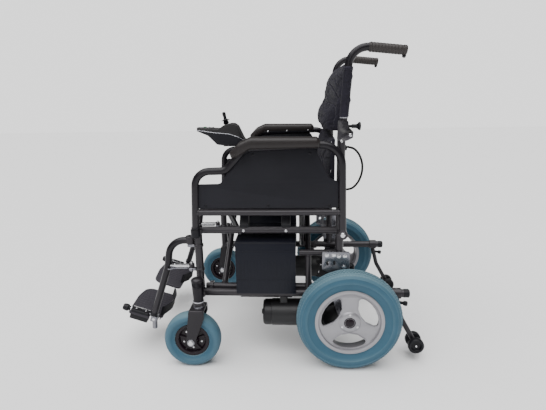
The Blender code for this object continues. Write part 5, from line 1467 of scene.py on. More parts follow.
@dataclass
class Caster(Sided):
    """A front caster: its fork, its solid tyre and its hub."""

    x: float = -0.481
    y: float = 0.290
    z: float = 0.088
    stem_x: float = -0.457

    @property
    def axle(self) -> Matrix:
        """The wheel's middle, with Z out from the chair."""
        return outward(self.x, self.sign * self.y, self.z, self.sign)

    def fork(self) -> None:
        """Makes the fork with its stem and its axle bolt."""
        form = self.form("fork_black")
        y = self.sign * self.y
        form.slab((-0.483, y - 0.033, 0.1852), (-0.437, y + 0.033, 0.1948), Look.FRAME, 0.0035, segments=3)
        outline = rounded(
            mm(-483, 191.5, -495, 92, -489, 74.5, -473, 74.5, -466, 94, -437, 168, -437, 191.5),
            [0.004, 0.012, 0.010, 0.010, 0.012, 0.010, 0.004], 6,
        )
        for way in (-1, 1):
            form.plate(outline, 0.0048, upright(y + way * 0.0305), Look.FRAME, 0.0012)
            form.disc(0.0115, 0.0328, 0.0342, outward(self.x, y, self.z, way), Look.ZINC, 0.0005)
            form.disc(0.0074, 0.0340, 0.0362, outward(self.x, y, self.z, way), Look.BOLT, 0.001)
        form.sweep([(self.x, y - 0.0355, self.z), (self.x, y + 0.0355, self.z)], 0.0038, Look.BOLT, 16)
        stem = mm(
            0, 257.5, 8.8, 257.5, 8.8, 201, 17.2, 200, 17.4, 197.5, 15.6, 196, 17.4, 194.5,
            17, 190.5, 0, 190.5,
        )
        form.turn(stem, standing(self.stem_x, y, 0), Look.ZINC, 32)
        self.hang(form, 32, "caster", "frame_black", "caster_fork")

    def tyre(self) -> None:
        """Makes the smooth solid tyre."""
        form = self.form("caster_rubber")
        half = mm(
            88, 0, 87.8, 7, 86.8, 13, 84.6, 18.2, 81.2, 22, 77, 24, 72, 24, 66.2, 22, 65, 20.8, 60, 18.4,
            56.2, 16.6, 55, 17, 53.8, 15,
        )
        form.ring(mirrored(half), self.axle, Look.TYRE, 96)
        self.hang(form, 30, "caster_wheel", "tyre_blue", "caster_tyre")

    def hub(self) -> None:
        """Makes the black two-part hub with its ribs and bolts."""
        form = self.form("caster_centre")
        half = mm(
            5.2, 21.8, 14, 21.8, 16, 20.5, 17.2, 12, 21.5, 6.8, 38.5, 6.2, 41.8, 12.2, 43.2, 14,
            52.6, 14.8, 53, 12,
        )
        axle = self.axle
        form.ring(mirrored(half, 0), axle, Look.CAP, 64)
        for way in (-1, 1):
            for i in range(5):
                rib = axle @ spun(72 * i + 20, "Z")
                form.slab(
                    (0.0150, -0.0022, way * 0.0050), (0.0405, 0.0022, way * 0.0118), Look.CAP, 0.0008, rib
                )
        spots = []
        for c, s in spokes(5, 56):
            for way in (-1, 1):
                spot = axle @ Vector((0.0290 * c, 0.0290 * s, way * 0.0060))
                spots.append((spot, (0, self.sign * way, 0), 0.0032, 0.0022))
        self.repeats.fix(form, spots, "bolt")
        self.hang(form, 32, "caster_wheel", "black_plastic", "caster_hub")

    def build(self) -> None:
        """Makes the caster."""
        self.fork()
        self.tyre()
        self.hub()


@dataclass
class DriveUnit(Sided):
    """One side's slotted motor plate, its geared motor and its clutch lever."""

    plate_y: float = 0.2474
    motor_y: float = 0.200
    axle_z: float = 0.159
    can_z: float = 0.134
    gear_x: float = -0.041
    clutch: Point = (0.012, 0.207, 0)

    def plate(self) -> None:
        """Makes the zinc plate with its slots, its axle boss and its bolts."""
        form = self.form("plate_zinc")
        outline = rounded(
            mm(-80, 358, 2, 358, 4, 290, 32, 190, 26, 136, -26, 136, -46, 200, -56, 290, -80, 300),
            [0.004, 0.004, 0.020, 0.020, 0.014, 0.014, 0.020, 0.010, 0.006], 7,
        )
        holes = [
            rounded(mm(x - 3.6, 315.5, x + 3.6, 315.5, x + 3.6, 328.5, x - 3.6, 328.5), 0.0028)
            for x in (-64, -43)
        ]
        holes.append(circle(0, self.axle_z, 0.0121, 40))
        form.plate(outline, 0.0049, upright(self.sign * self.plate_y), Look.ZINC, 0.0009, holes)
        face = self.sign * (self.plate_y + 0.0024)
        heads = mm(-66, 347.5, -45, 347.5, -30, 344, -12, 344, -14, 310, -34, 252, 12, 212)
        self.repeats.fix(form, [((x, face, z), (0, self.sign, 0), 0.0066, 0.0060) for x, z in heads], "bolt")
        self.hang(form, 32, "frame", "zinc", "motor_plate")

    def motor(self) -> None:
        """Makes the ribbed motor, its gearbox and its rubber neck."""
        sign = self.sign
        y = sign * self.motor_y
        form = self.form("motor_black")
        axis = along_x(0, y, self.can_z)
        can = mm(
            0, -266, 30, -266, 36.8, -265.5, 41, -260.5, 41.4, -258.5, 41.4, -238.5, 42.8, -237.5, 42.8, -68,
            40, -67.2, 0, -67.2,
        )
        form.turn(can, axis, Look.MOTOR, 72)
        form.ring(mm(42.5, -112, 42.95, -111.5, 42.95, -99.5, 42.5, -99), axis, Look.MOTOR, 72)
        for extra, thickness, out, bevel in ((0, 0.0790, 0, 0.0035), (0.0004, 0.0050, 0.006, 0.0012)):
            gear = circle(self.gear_x, self.can_z, 0.0435 + extra, 48)
            outline = hull(gear + circle(0, self.axle_z, 0.0295 + extra, 48))
            form.plate(outline, thickness, upright(y + sign * out), Look.MOTOR, bevel)
        for way in (-1, 1):
            cover = mm(0, 44.3, 28, 44.3, 34.5, 43.1, 37.5, 39.8, 37.5, 36, 0, 36)
            form.turn(cover, outward(self.gear_x, y, self.can_z, way), Look.MOTOR, 48)
        form.slab((-0.083, y - 0.034, 0.098), (self.gear_x, y + 0.034, 0.170), Look.MOTOR, 0.006, segments=3)
        form.slab((-0.211, y - 0.018, 0.165), (-0.187, y + 0.018, 0.2005), Look.MOTOR, 0.002)
        form.slab((-0.018, y - sign * 0.012 - 0.002, 0.180), (0.018, y + 0.014, 0.195), Look.MOTOR, 0.002)
        spots = []
        for c, s in spokes(6, 15):
            spot = (self.gear_x + 0.0318 * c, y - sign * 0.0442, self.can_z + 0.0318 * s)
            spots.append((spot, (0, -sign, 0), 0.0030, 0.0018))
        for c, s in spokes(4, 45):
            spots.append(((-0.2600, y + 0.0335 * c, self.can_z + 0.0335 * s), (-1, 0, 0), 0.0032, 0.0036))
        self.repeats.fix(form, spots)
        form.disc(0.0082, 0.0, 0.0052, along_x(-0.2662, y, self.can_z) @ spun(180, "X"), Look.PLASTIC, 0.001)
        self.hang(form, 30, "frame", "motor_black", "gear_motor")

    def lever(self) -> None:
        """Makes the clutch lever that lets the wheel turn by hand."""
        form = self.form("clutch_knob")
        x, y, _ = self.clutch
        y *= self.sign
        place = standing(x, y, 0)
        knob = mm(
            0, 303.8, 5.5, 303.2, 8.8, 301.2, 10.2, 298.5, 10.9, 295.5, 10.9, 286.5, 9.8, 282, 7.8, 279,
            4.2, 277.2, 4.1, 277.5, 0, 277.5,
        )
        form.turn(knob, place, Look.PLASTIC, 28)
        form.turn(mm(0, 279, 4, 279, 4.1, 201.5, 0, 201.5), place, Look.ZINC, 20)
        form.slab((0.0082, y - 0.0029, 0.1887), (0.0158, y + 0.0029, 0.2050), Look.ZINC)
        self.hang(form, 32, "clutch", "black_plastic", "clutch_lever")

    def build(self) -> None:
        """Makes the drive unit."""
        self.plate()
        self.motor()
        self.lever()


@dataclass
class Battery(Sided):
    """A lift-out battery box with its lid, its cover, its ribs, its carrying handle and its strap."""

    low: Point = (-0.345, 0.110, 0.2074)
    high: Point = (-0.160, 0.188, 0.377)
    lid_z: float = 0.342
    handle: tuple[float, float] = (-0.300, -0.205)

    def box(self, form: Form) -> None:
        """Adds the box with its lid, its rim and its outer cover, and a paler strip along the cover's top
        edge as a painted highlight.
        """
        sign = self.sign
        (x0, a, z0), (x1, b, z1) = self.low, self.high
        for inset, low, high, bevel, segments in (
            ((0.003, 0.002, 0.002), z0, 0.3455, 0.005, 3),
            ((0.0004, 0.0004, 0.0004), self.lid_z, z1, 0.0065, 4),
            ((0.0002, 0.0002, 0.0002), self.lid_z + 0.004, self.lid_z + 0.0085, 0.0012, 2),
            ((0.0014, 0.001, 0.0008), 0.3375, 0.3405, 0.001, 2),
        ):
            end, inner, outer = inset
            corner = (x0 + end, sign * (a + inner), low)
            across = (x1 - end, sign * (b - outer), high)
            form.slab(corner, across, Look.BATTERY, bevel, segments=segments)
        hood = mm(
            185, 392.5, 243, 390.5, 249.4, 389, 251, 385, 251, 223.5, 250, 220.5, 247.6, 219.5, 246.6, 221,
            246.6, 382, 243, 385, 185, 387,
        )
        middle = crossways((x0 + x1) / 2)
        form.plate([(sign * y, z) for y, z in hood], x1 - x0 - 0.0006, middle, Look.BATTERY, 0.0009)
        # Painted highlight: a thin paler strip along the hood's top outer edge stands in for the light caught
        # on that edge.
        form.slab(
            (x0 + 0.0020, sign * 0.2500, 0.3850), (x1 - 0.0020, sign * 0.2520, 0.3872), Look.CONTROL, 0.0006
        )
        for z in (0.3600, 0.2660):
            low, high = (x0 + 0.0035, sign * 0.2505, z - 0.0012), (x1 - 0.0035, sign * 0.2516, z + 0.0012)
            form.slab(low, high, Look.BATTERY, 0.0005)
        for edge in (0.2492, a + 0.0022):
            rib = Form("rib")
            rib.slab((-0.0014, -0.0020, -0.0530), (0.0014, 0.0020, 0.0530), Look.BATTERY, 0.0007)
            first, step = (x0 + 0.0165, sign * edge, 0.2790), ((x1 - x0 - 0.033) / 15, 0, 0)
            self.repeats.add_row(form, rib, first, step, 16, Look.BATTERY)

    def trim(self, form: Form) -> None:
        """Adds the carrying handle, the screws and the strap with its ring."""
        sign = self.sign
        (x0, a, _), (x1, b, z1) = self.low, self.high
        y = sign * 0.150
        front, rear = self.handle
        knots = [(front, 0.374), (front + 0.002, 0.3822), (rear - 0.002, 0.3822), (rear, 0.374)]
        form.sweep(bent([(x, y, z) for x, z in knots], [0.005, 0.005], 5), 0.0027, Look.PLASTIC, 14)
        for x in self.handle:
            low, high = (x - 0.006, sign * 0.144, 0.3755), (x + 0.006, sign * 0.156, 0.3795)
            form.slab(low, high, Look.PLASTIC, 0.0012)
        corners = [
            (x, sign * v, z1 - 0.0006) for x in (x0 + 0.014, x1 - 0.014) for v in (a + 0.013, b - 0.013)
        ]
        spots = [(corner, (0, 0, 1), 0.0034, 0.0020) for corner in corners]
        spots += [((x0 - 0.0002, sign * v, 0.360), (-1, 0, 0), 0.0040, 0.0006) for v in (0.132, 0.166)]
        self.repeats.fix(form, spots)
        lean = standing(-0.331, sign * 0.1800, 0.369) @ spun(-34 * sign, "X")
        form.slab((-0.0098, -0.0014, -0.026), (0.0098, 0.0014, 0.0258), Look.WEBBING, 0.0006, lean)
        form.slab((-0.0102, -0.0016, 0.0100), (0.0102, 0.0016, 0.0160), Look.ZINC, 0.0006, lean)
        loop = lean @ standing(0, 0, 0.0205) @ spun(90, "X")
        form.ring(mm(4.8, -1.8, 6.6, -1.8, 6.6, 1.8, 4.8, 1.8), loop, Look.ZINC, 24)

    def build(self) -> None:
        """Makes the battery box."""
        form = self.form("battery_case")
        self.box(form)
        self.trim(form)
        self.hang(form, 32, "frame", "battery_black", "battery_box", mapped=True)


@dataclass
class Armrest(Sided):
    """One lift-up armrest: its bent tube, its pad and its skirt."""

    y: float = 0.263
    pivot: Point = (-0.022, 0.418)
    bar_z: float = 0.4850
    pad_half: float = 0.0275
    pad_z: float = 0.6885

    def tube(self) -> None:
        """Makes the tube with its lower bar, its eye, its collars and the pad's screws."""
        y = self.sign * self.y
        form = self.form("armrest_bar")
        corners = mm(-460, 413.4, -451, 607.5, -361, 609.5, -303, 674, -28, 684, -22, 426)
        path = bent([(x, y, z) for x, z in corners], [0.045, 0.035, 0.040, 0.060], 10)
        form.sweep(path, 0.0109, Look.FRAME, 28)
        form.sweep([(-0.457, y, self.bar_z), (-0.023, y, self.bar_z)], 0.0094, Look.FRAME, 24)
        for x, turned in ((-0.4475, 0), (-0.0350, 180)):
            place = along_x(x, y, self.bar_z) @ spun(turned, "X")
            form.ring(mm(8.5, -1, 11.4, 0, 10.8, 2.8, 8.5, 4.4), place, Look.FRAME, 24)
        eye = mm(6.2, -11.2, 13.8, -11.2, 14.4, -10.5, 14.4, 10.5, 13.8, 11.2, 6.2, 11.2)
        form.ring(eye, outward(self.pivot[0], y, self.pivot[1], self.sign), Look.FRAME, 36)
        stop = mm(11.2, -1, 13.2, 0.2, 13.2, 4.2, 11.2, 5.2)
        form.ring(stop, standing(-0.4588, y, 0.4355), Look.PLASTIC, 28)
        inner = self.sign * (self.y - 0.0092)
        spots = [
            ((x, inner, self.bar_z), (0, -self.sign, 0), 0.0040, 0.0024) for x in (-0.400, -0.240, -0.080)
        ]
        self.repeats.fix(form, spots)
        self.hang(form, 34, "armrest", "frame_black", "armrest_tube")

    def pad(self) -> None:
        """Makes the soft-skinned pad: a crowned form with a swept nose, and the screws beneath."""
        sign = self.sign
        form = self.form("armrest_cushion")
        outline = rounded(
            mm(
                -345.2, 664, -316, 694, -285, 707.5, -98, 705.5, -90, 695, -92, 675.5, -286, 673.5,
                -318, 652.5, -339, 647,
            ),
            [0.007, 0.02, 0.02, 0.010, 0.006, 0.006, 0.02, 0.01, 0.007], 6,
        )
        rows, count = 22, len(outline)
        flat = [Vector((x, 0, z)) for x, z in outline]
        core = [
            Vector((min(max(p.x, -0.323), -0.104), 0, self.pad_z + min(0.0, p.x + 0.285) * 0.42))
            for p in flat
        ]
        verts = []
        for i in range(rows + 1):
            v = -math.cos(math.pi * i / rows)
            soft = (1 - abs(v) ** 3.4) ** (1 / 3.4) if abs(v) < 1 else 0.0
            lift = 0.55 + 0.45 * soft
            for p, c in zip(flat, core):
                q = c + (p - c) * (soft * lift + (1 - lift) * soft)
                verts.append((q.x, sign * (self.y + 0.012) + v * self.pad_half, q.z))
        form.absorb(plain(verts, bands(rows + 1, count)), Look.PAD)
        spots = []
        for x, base in zip((-0.300, -0.255, -0.205, -0.150, -0.110), (0.6655, 0.670, 0.670, 0.670, 0.670)):
            spots.append(((x, sign * (self.y - 0.006), base + 0.0045), (0, 0, -1), 0.0042, 0.0012))
        for x, z in mm(-271.2, 679, -196.2, 681, -113.8, 683):
            spots.append(((x, sign * 0.2488, z), (0, -sign, 0), 0.0036, 0.0022))
        form.slab((-0.290, sign * 0.2488, 0.6748), (-0.096, sign * 0.2760, 0.6860), Look.PLASTIC, 0.0016)
        self.repeats.fix(form, spots)
        made = self.hang(form, 40, "armrest", "pad_brown", "armrest_pad")

    def skirt(self) -> None:
        """Makes the thin side guard with its clips."""
        form = self.form("skirt_sheet")
        outline = rounded(
            mm(
                -449, 497.5, -444, 570.5, -378, 571.5, -358, 600, -322, 640, -290, 670, -104, 673, -63, 588.5,
                -36, 574.5, -36, 498.5,
            ),
            [0.004, 0.006, 0.015, 0.02, 0.02, 0.012, 0.02, 0.02, 0.008, 0.004], 6,
        )
        form.plate(outline, 0.0036, upright(self.sign * self.y), Look.SKIRT, 0.0012)
        spots = []
        for x, z in mm(-424, 506.5, -240, 506.5, -62, 506.5, -280, 656, -118, 658):
            for way in (-1, 1):
                spot = (x, self.sign * (self.y + way * 0.0018), z)
                spots.append((spot, (0, self.sign * way, 0), 0.0042, 0.0022))
        self.repeats.fix(form, spots, "screw", Look.PLASTIC)
        self.hang(form, 34, "armrest", "skirt_grey", "skirt_panel", mapped=True)

    def build(self) -> None:
        """Makes the armrest."""
        self.tube()
        self.pad()
        self.skirt()


@dataclass
class BackCane(Sided):
    """One folding back cane with its push grip and its release knob."""

    y: float = 0.232
    crook: Point = (-0.009, 0.9485)
    tip: Point = (0.144, 0.9316)
    grip_x: float = 0.0445

    def cane(self) -> None:
        """Makes the bent cane and the ear that it hinges on."""
        y = self.sign * self.y
        form = self.form("cane_tube")
        corners = [(-0.025, 0.7135), self.crook, self.tip]
        form.sweep(bent([(x, y, z) for x, z in corners], [0.052], 14), 0.0109, Look.FRAME, 28)
        ear = rounded(
            mm(-30, 716, -10, 716.5, 3.5, 712, 4, 700, -9, 699, -11.5, 713.5, -30, 713.5),
            [0.001, 0.002, 0.004, 0.004, 0.004, 0.002, 0.001], 4,
        )
        form.plate(ear, 0.0136, upright(y), Look.ZINC, 0.001)
        collar = mm(10.5, 714.5, 11.8, 715, 11.8, 720, 10.5, 721)
        form.ring(collar, standing(-0.0248, y, 0), Look.ZINC, 28)
        line = mm(10.6, 753, 11.7, 753.4, 11.7, 755.6, 10.6, 756)
        form.ring(line, standing(-0.0222, y, 0), Look.LINE, 28)
        self.hang(form, 34, "cane", "frame_black", "upper_cane")

    def grip(self) -> None:
        """Makes the ribbed rubber grip with its flanges and its rounded end."""
        form = self.form("grip_rubber")
        (x0, z0), (x1, z1) = self.crook, self.tip
        way = Vector((x1 - x0, 0, z1 - z0)).normalized()
        start = Vector((self.grip_x, self.sign * self.y, z0 + (self.grip_x - x0) * way.z / way.x))
        place = aimed(start, way)
        profile = mm(11, 0, 13.4, 0, 13.8, 0.8, 13.8, 4, 12.6, 5.2)
        for i in range(9):
            base = 9.5 + i * 8.8
            profile += mm(
                13.1, base - 2.2, 13.5, base - 1, 13.6, base + 1.2, 13.4, base + 3.2, 13.1, base + 4.4
            )
        profile += mm(12.7, 89.5, 13.8, 90.5, 13.8, 96, 13.4, 98.5, 11, 100.5, 0, 100.5)
        form.turn(profile, place, Look.GRIP, 36)
        form.ring(mm(11, -3.2, 12.2, -3, 12.2, -0.2, 11, 0), place, Look.GRIP, 36)
        ball = [(0.0056 * math.sin(math.pi * i / 10), 0.0060 * math.cos(math.pi * i / 10)) for i in range(11)]
        end = start + way * 0.0930
        form.turn(ball, standing(end.x, end.y, end.z - 0.0150), Look.PLASTIC, 20)
        self.hang(form, 46, "cane", "grip_rubber", "push_grip")

    def knob(self) -> None:
        """Makes the release knob."""
        form = self.form("release_metal")
        place = along_x(0, self.sign * self.y, 0.730)
        profile = mm(
            0, 25.8, 9.5, 25.8, 11.6, 24.6, 11.9, 22.5, 11.2, 20, 8, 17, 6.2, 14.5, 5.6, 11, 5.8, 0.8, 4, 0.4,
            3.8, -14, 0, -14,
        )
        form.turn(profile, place, Look.PLASTIC, 32)
        form.turn(mm(0, 26, 4.5, 26, 6, 25.6, 0, 25.2), place, Look.PLASTIC, 24)
        self.hang(form, 30, "release", "zinc", "back_release_knob")

    def build(self) -> None:
        """Makes the cane."""
        self.cane()
        self.grip()
        self.knob()


@dataclass
class AntiTip(Sided):
    """One rear anti-tip arm with its two small rollers."""

    y: float = 0.232
    foot: Point = (0.215, 0.049)

    def arm(self) -> None:
        """Makes the arm with its collar, its knob and its eye."""
        y = self.sign * self.y
        x, z = self.foot
        form = self.form("tip_arm")
        form.sweep(bent([(0.150, y, 0.207), (0.168, y, 0.134), (x, y, z)], [0.06], 8), 0.0079, Look.FRAME, 24)
        collar = mm(12.8, 136.2, 16, 136.2, 16.9, 137.4, 16.9, 162.6, 16, 163.8, 12.8, 163.8)
        form.ring(collar, along_x(0, y, 0.217), Look.FRAME, 36)
        knob = mm(0, 31.8, 6.4, 31.8, 7.8, 30.2, 7.2, 21.5, 5.4, 19.2, 4.8, 17.5, 4.8, 4, 0, 4)
        form.turn(knob, standing(0.154, y, 0.187) @ spun(100, "Y"), Look.PLASTIC, 24)
        eye = mm(4, -8.5, 10.4, -8.5, 10.9, -7.8, 10.9, 7.8, 10.4, 8.5, 4, 8.5)
        form.ring(eye, outward(x, y, z, self.sign), Look.FRAME, 28)
        self.repeats.fix(form, [((0.150, y, 0.2338), (0, 0, 1), 0.0040, 0.0006)])
        self.hang(form, 32, "anti_tip", "frame_black", "anti_tip_arm")

    def rollers(self) -> None:
        """Makes the two rollers on their pin."""
        y = self.sign * self.y
        x, z = self.foot
        form = self.form("tip_rollers")
        tyre = mm(16.5, -8.5, 22.5, -8.8, 24.5, -6.5, 25, -3, 25, 3, 24.5, 6.5, 22.5, 8.8, 16.5, 8.5)
        hub = mm(0, 6.2, 3.5, 6.2, 4.2, 4.8, 15, 3.6, 16.6, 5.8, 17, 5, 17, -6, 0, -6)
        for way in (-1, 1):
            base = outward(x, y + way * 0.020, z, way)
            form.ring(tyre, base, Look.PLASTIC, 48)
            form.turn(hub, base, Look.PLASTIC, 32)
        form.sweep([(x, y - 0.027, z), (x, y + 0.027, z)], 0.0034, Look.BOLT, 16)
        self.hang(form, 30, "rollers", "black_plastic", "anti_tip_wheels")

    def build(self) -> None:
        """Makes the arm and the rollers."""
        self.arm()
        self.rollers()


@dataclass
class LegRest(Sided):
    """One swing-away leg rest: hanger, latch, footplate rod, footplate and heel loop."""

    y: float = 0.232
    hinge_x: float = -0.486
    foot_at: Point = (-0.700, 0.219, 0.149)
    tilt: float = 18.0

    @property
    def slack(self) -> float:
        """How far the heel loop bows back."""
        return 0.020 if self.side is Side.LEFT else 0.024

    @property
    def tall(self) -> float:
        """How tall the heel loop stands."""
        return 0.033 if self.side is Side.LEFT else 0.036

    @property
    def reach(self) -> float:
        """How far in the footplate reaches, which is further on the far side."""
        return 0.172 if self.side is Side.LEFT else 0.200

    @property
    def foot(self) -> Matrix:
        """The footplate's own frame: X back along its rod, Y in to the middle, Z up."""
        x, y, z = self.foot_at
        return standing(x, self.sign * y, z) @ spun(self.tilt, "Y") @ Matrix.Diagonal((1, -self.sign, 1, 1))

    def hanger(self) -> None:
        """Makes the hanger with its knuckles, brackets and clamp foot."""
        y = self.sign * self.y
        form = self.form("hanger_bar")
        corners = mm(-486, 388.5, -548.5, 388.5, -562, 300, -621.5, 130)
        form.sweep(bent([(x, y, z) for x, z in corners], [0.053, 0.10], 12), 0.0109, Look.FRAME, 28)
        form.sweep([(-0.6172, y, 0.151), (-0.6205, y, 0.088)], 0.0082, Look.ZINC, 24)
        cuff = mm(8, 0, 11.8, 0, 12.2, 2, 12.2, 10, 10.8, 12, 8, 12)
        form.ring(cuff, standing(-0.6205, y, 0.134) @ spun(16.5, "Y"), Look.PLASTIC, 28)
        hinge = standing(self.hinge_x, y, 0)
        for low, high, radius in ((0.3787, 0.4028, 0.0129), (0.3001, 0.3118, 0.0094)):
            edge = radius - 0.001
            knuckle = [(0.0052, low), (edge, low), (radius, low + 0.001)]
            form.ring([*knuckle, (radius, high - 0.001), (edge, high), (0.0052, high)], hinge, Look.FRAME, 36)
        form.slab((-0.563, y - 0.0068, 0.3022), (self.hinge_x, y + 0.0068, 0.3098), Look.BOLT)
        self.repeats.fix(form, [((-0.540, y, 0.3097), (0, 0, 1), 0.0042, 0.0026)])
        self.hang(form, 34, "hanger", "frame_black", "hanger_tube")

    def latch(self) -> None:
        """Makes the silver latch lever under the hanger."""
        form = self.form("latch_lever")
        corners = mm(-69.8, -7, -11.7, -6.4, -11.7, 6.4, -50, 7.8, -68, 18.8, -73.8, 14)
        placed = [(self.hinge_x + x, self.sign * (self.y + v)) for x, v in corners]
        outline = rounded(placed, [0.003, 0.001, 0.001, 0.010, 0.003, 0.003], 4)
        form.plate(outline, 0.0048, standing(0, 0, 0.299), Look.ZINC, 0.0012)
        self.hang(form, 32, "latch", "zinc", "hanger_latch")

    def rod(self) -> None:
        """Makes the rod that the footplate folds on, with its nose knob."""
        form = self.form("foot_rod")
        along = self.foot @ spun(90, "Y")
        form.turn(mm(0, 89.8, 4.2, 89.8, 4.9, 89, 4.9, -6, 0, -6), along, Look.ZINC, 24)
        tilt = math.radians(self.tilt)
        front = -(0.728 + self.foot_at[0] - 0.009 * math.sin(tilt)) / math.cos(tilt)
        knob = mm(0, -0.4, 7.6, -0.4, 7.8, -6.8, 9.8, -7.6, 11.3, -9, 11.4, -16.5)
        knob += [
            (0.0104, front + 0.0040), (0.0085, front + 0.0012), (0.0060, front + 0.0004), (0, front + 0.0004),
        ]
        form.turn(knob, along, Look.PLASTIC, 36)
        form.ring(mm(5.2, 0.4, 9.4, 0.4, 9.4, 2.6, 5.2, 2.6), along, Look.BOLT, 28)
        self.hang(form, 32, "rod", "frame_black", "footplate_rod")

    def tread(self) -> None:
        """Makes the footplate with its ribs beneath, its hinge block, its grip ribs and its clamp."""
        form = self.form("foot_tray")
        foot = self.foot
        reach = self.reach
        corners = [(-0.002, -0.014), (-0.0085, 0.100), (0.002, reach), (0.105, reach)]
        corners += mm(105, 12, 66, 12, 66, -14)
        outline = rounded(corners, [0.006, 0.12, 0.034, 0.014, 0.006, 0.003, 0.003], 10)
        form.plate(outline, 0.0096, foot @ standing(0, 0, -0.0062), Look.FOOT, 0.0022)
        for y in (0.036, 0.066, 0.096, 0.126, 0.150):
            low = 0.010 + max(0.0, y - 0.10) * 0.28
            form.slab((low, y - 0.0013, -0.0185), (0.098, y + 0.0013, -0.0105), Look.FOOT, 0.0006, foot)
        for x in (0.030, 0.068, 0.098):
            form.slab((x - 0.0013, 0.014, -0.0180), (x + 0.0013, 0.154, -0.0105), Look.FOOT, 0.0006, foot)
        form.slab((0.0042, -0.0133, -0.0275), (0.0638, 0.0138, 0.0062), Look.PLASTIC, 0.0030, foot, 3)
        form.slab((0.0045, 0.0085, 0.0040), (0.0635, 0.0118, 0.0074), Look.BOLT, 0.0008, foot)
        for i in range(9):
            y = 0.030 + i * 0.0145
            low = 0.0055 + max(0.0, y - 0.110) * 0.20
            form.slab((low, y - 0.0021, -0.0022), (0.0965, y + 0.0021, -0.0004), Look.FOOT, 0.0008, foot)
        form.slab((0.0742, -0.0243, -0.0093), (0.0938, 0.0, 0.0093), Look.ZINC, 0.002, foot, 3)
        clamp = mm(5.2, 73.7, 9.8, 73.7, 10.4, 74.5, 10.4, 93.7, 9.8, 94.5, 5.2, 94.5)
        form.ring(clamp, foot @ spun(90, "Y"), Look.ZINC, 32)
        spots = []
        for place, way, radius, height in (
            ((0.018, 0.0, 0.0072), (0, 0, 1), 0.0034, 0.0010),
            ((0.050, 0.0, 0.0072), (0, 0, 1), 0.0034, 0.0010),
            ((0.084, -0.0243, 0.0), (0, -1, 0), 0.0044, 0.0008),
        ):
            spots.append((foot @ Vector(place), foot.to_3x3() @ Vector(way), radius, height))
        self.repeats.fix(form, spots)
        self.hang(form, 30, "tread", "footplate_grey", "footplate")

    def heel(self) -> None:
        """Makes the heel loop: a band of webbing sewn down at both ends."""
        form = self.form("heel_webbing")
        foot = self.foot
        steps, rows = 40, 10

        def at(s: float, v: float, out: float, rise: float) -> Vector:
            """A point of the band, by its share along and up it and its shift out and up."""
            bow = math.sin(math.pi * s)
            x = 0.0955 + self.slack * bow**0.7 + 0.0016 * bow * (2 * v - 1) ** 2
            ripple = 0.0006 * math.sin(math.pi * 6 * s + 2 * v)
            return foot @ Vector((x + ripple + out, 0.0145 + 0.147 * s, self.tall * v + rise))

        verts, faces = [], []
        for i in range(steps + 1):
            rise = 0.0012 * math.sin(math.pi * i / steps) - 0.0018
            for out in (-0.0008, 0.0015):
                verts += [at(i / steps, j / rows, out, rise) for j in range(rows + 1)]
        line = rows + 1
        for low in range(0, steps * 2 * line, 2 * line):
            high = low + 2 * line
            for j in range(rows):
                faces.append((low + j, low + j + 1, high + j + 1, high + j))
                faces.append((low + line + j, high + line + j, high + line + j + 1, low + line + j + 1))
            faces.append((low, high, high + line, low + line))
            faces.append((low + rows, low + line + rows, high + line + rows, high + rows))
        end = steps * 2 * line
        for j in range(rows):
            faces.append((j, line + j, line + j + 1, j + 1))
            faces.append((end + j, end + j + 1, end + line + j + 1, end + line + j))
        form.absorb(plain(verts, faces), Look.WEBBING)
        seams = [[at(i / steps, v, -0.0009, -0.0006) for i in range(3, steps - 2)] for v in (0.14, 0.86)]
        self.repeats.sew(form, seams, 0.0046)
        made = self.hang(form, 50, "tread", "nylon", "heel_loop", mapped=True)
        f"{self.side.label}_footplate_flip"
        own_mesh(made)

    def build(self) -> None:
        """Makes the leg rest."""
        self.hanger()
        self.latch()
        self.rod()
        self.tread()
        self.heel()


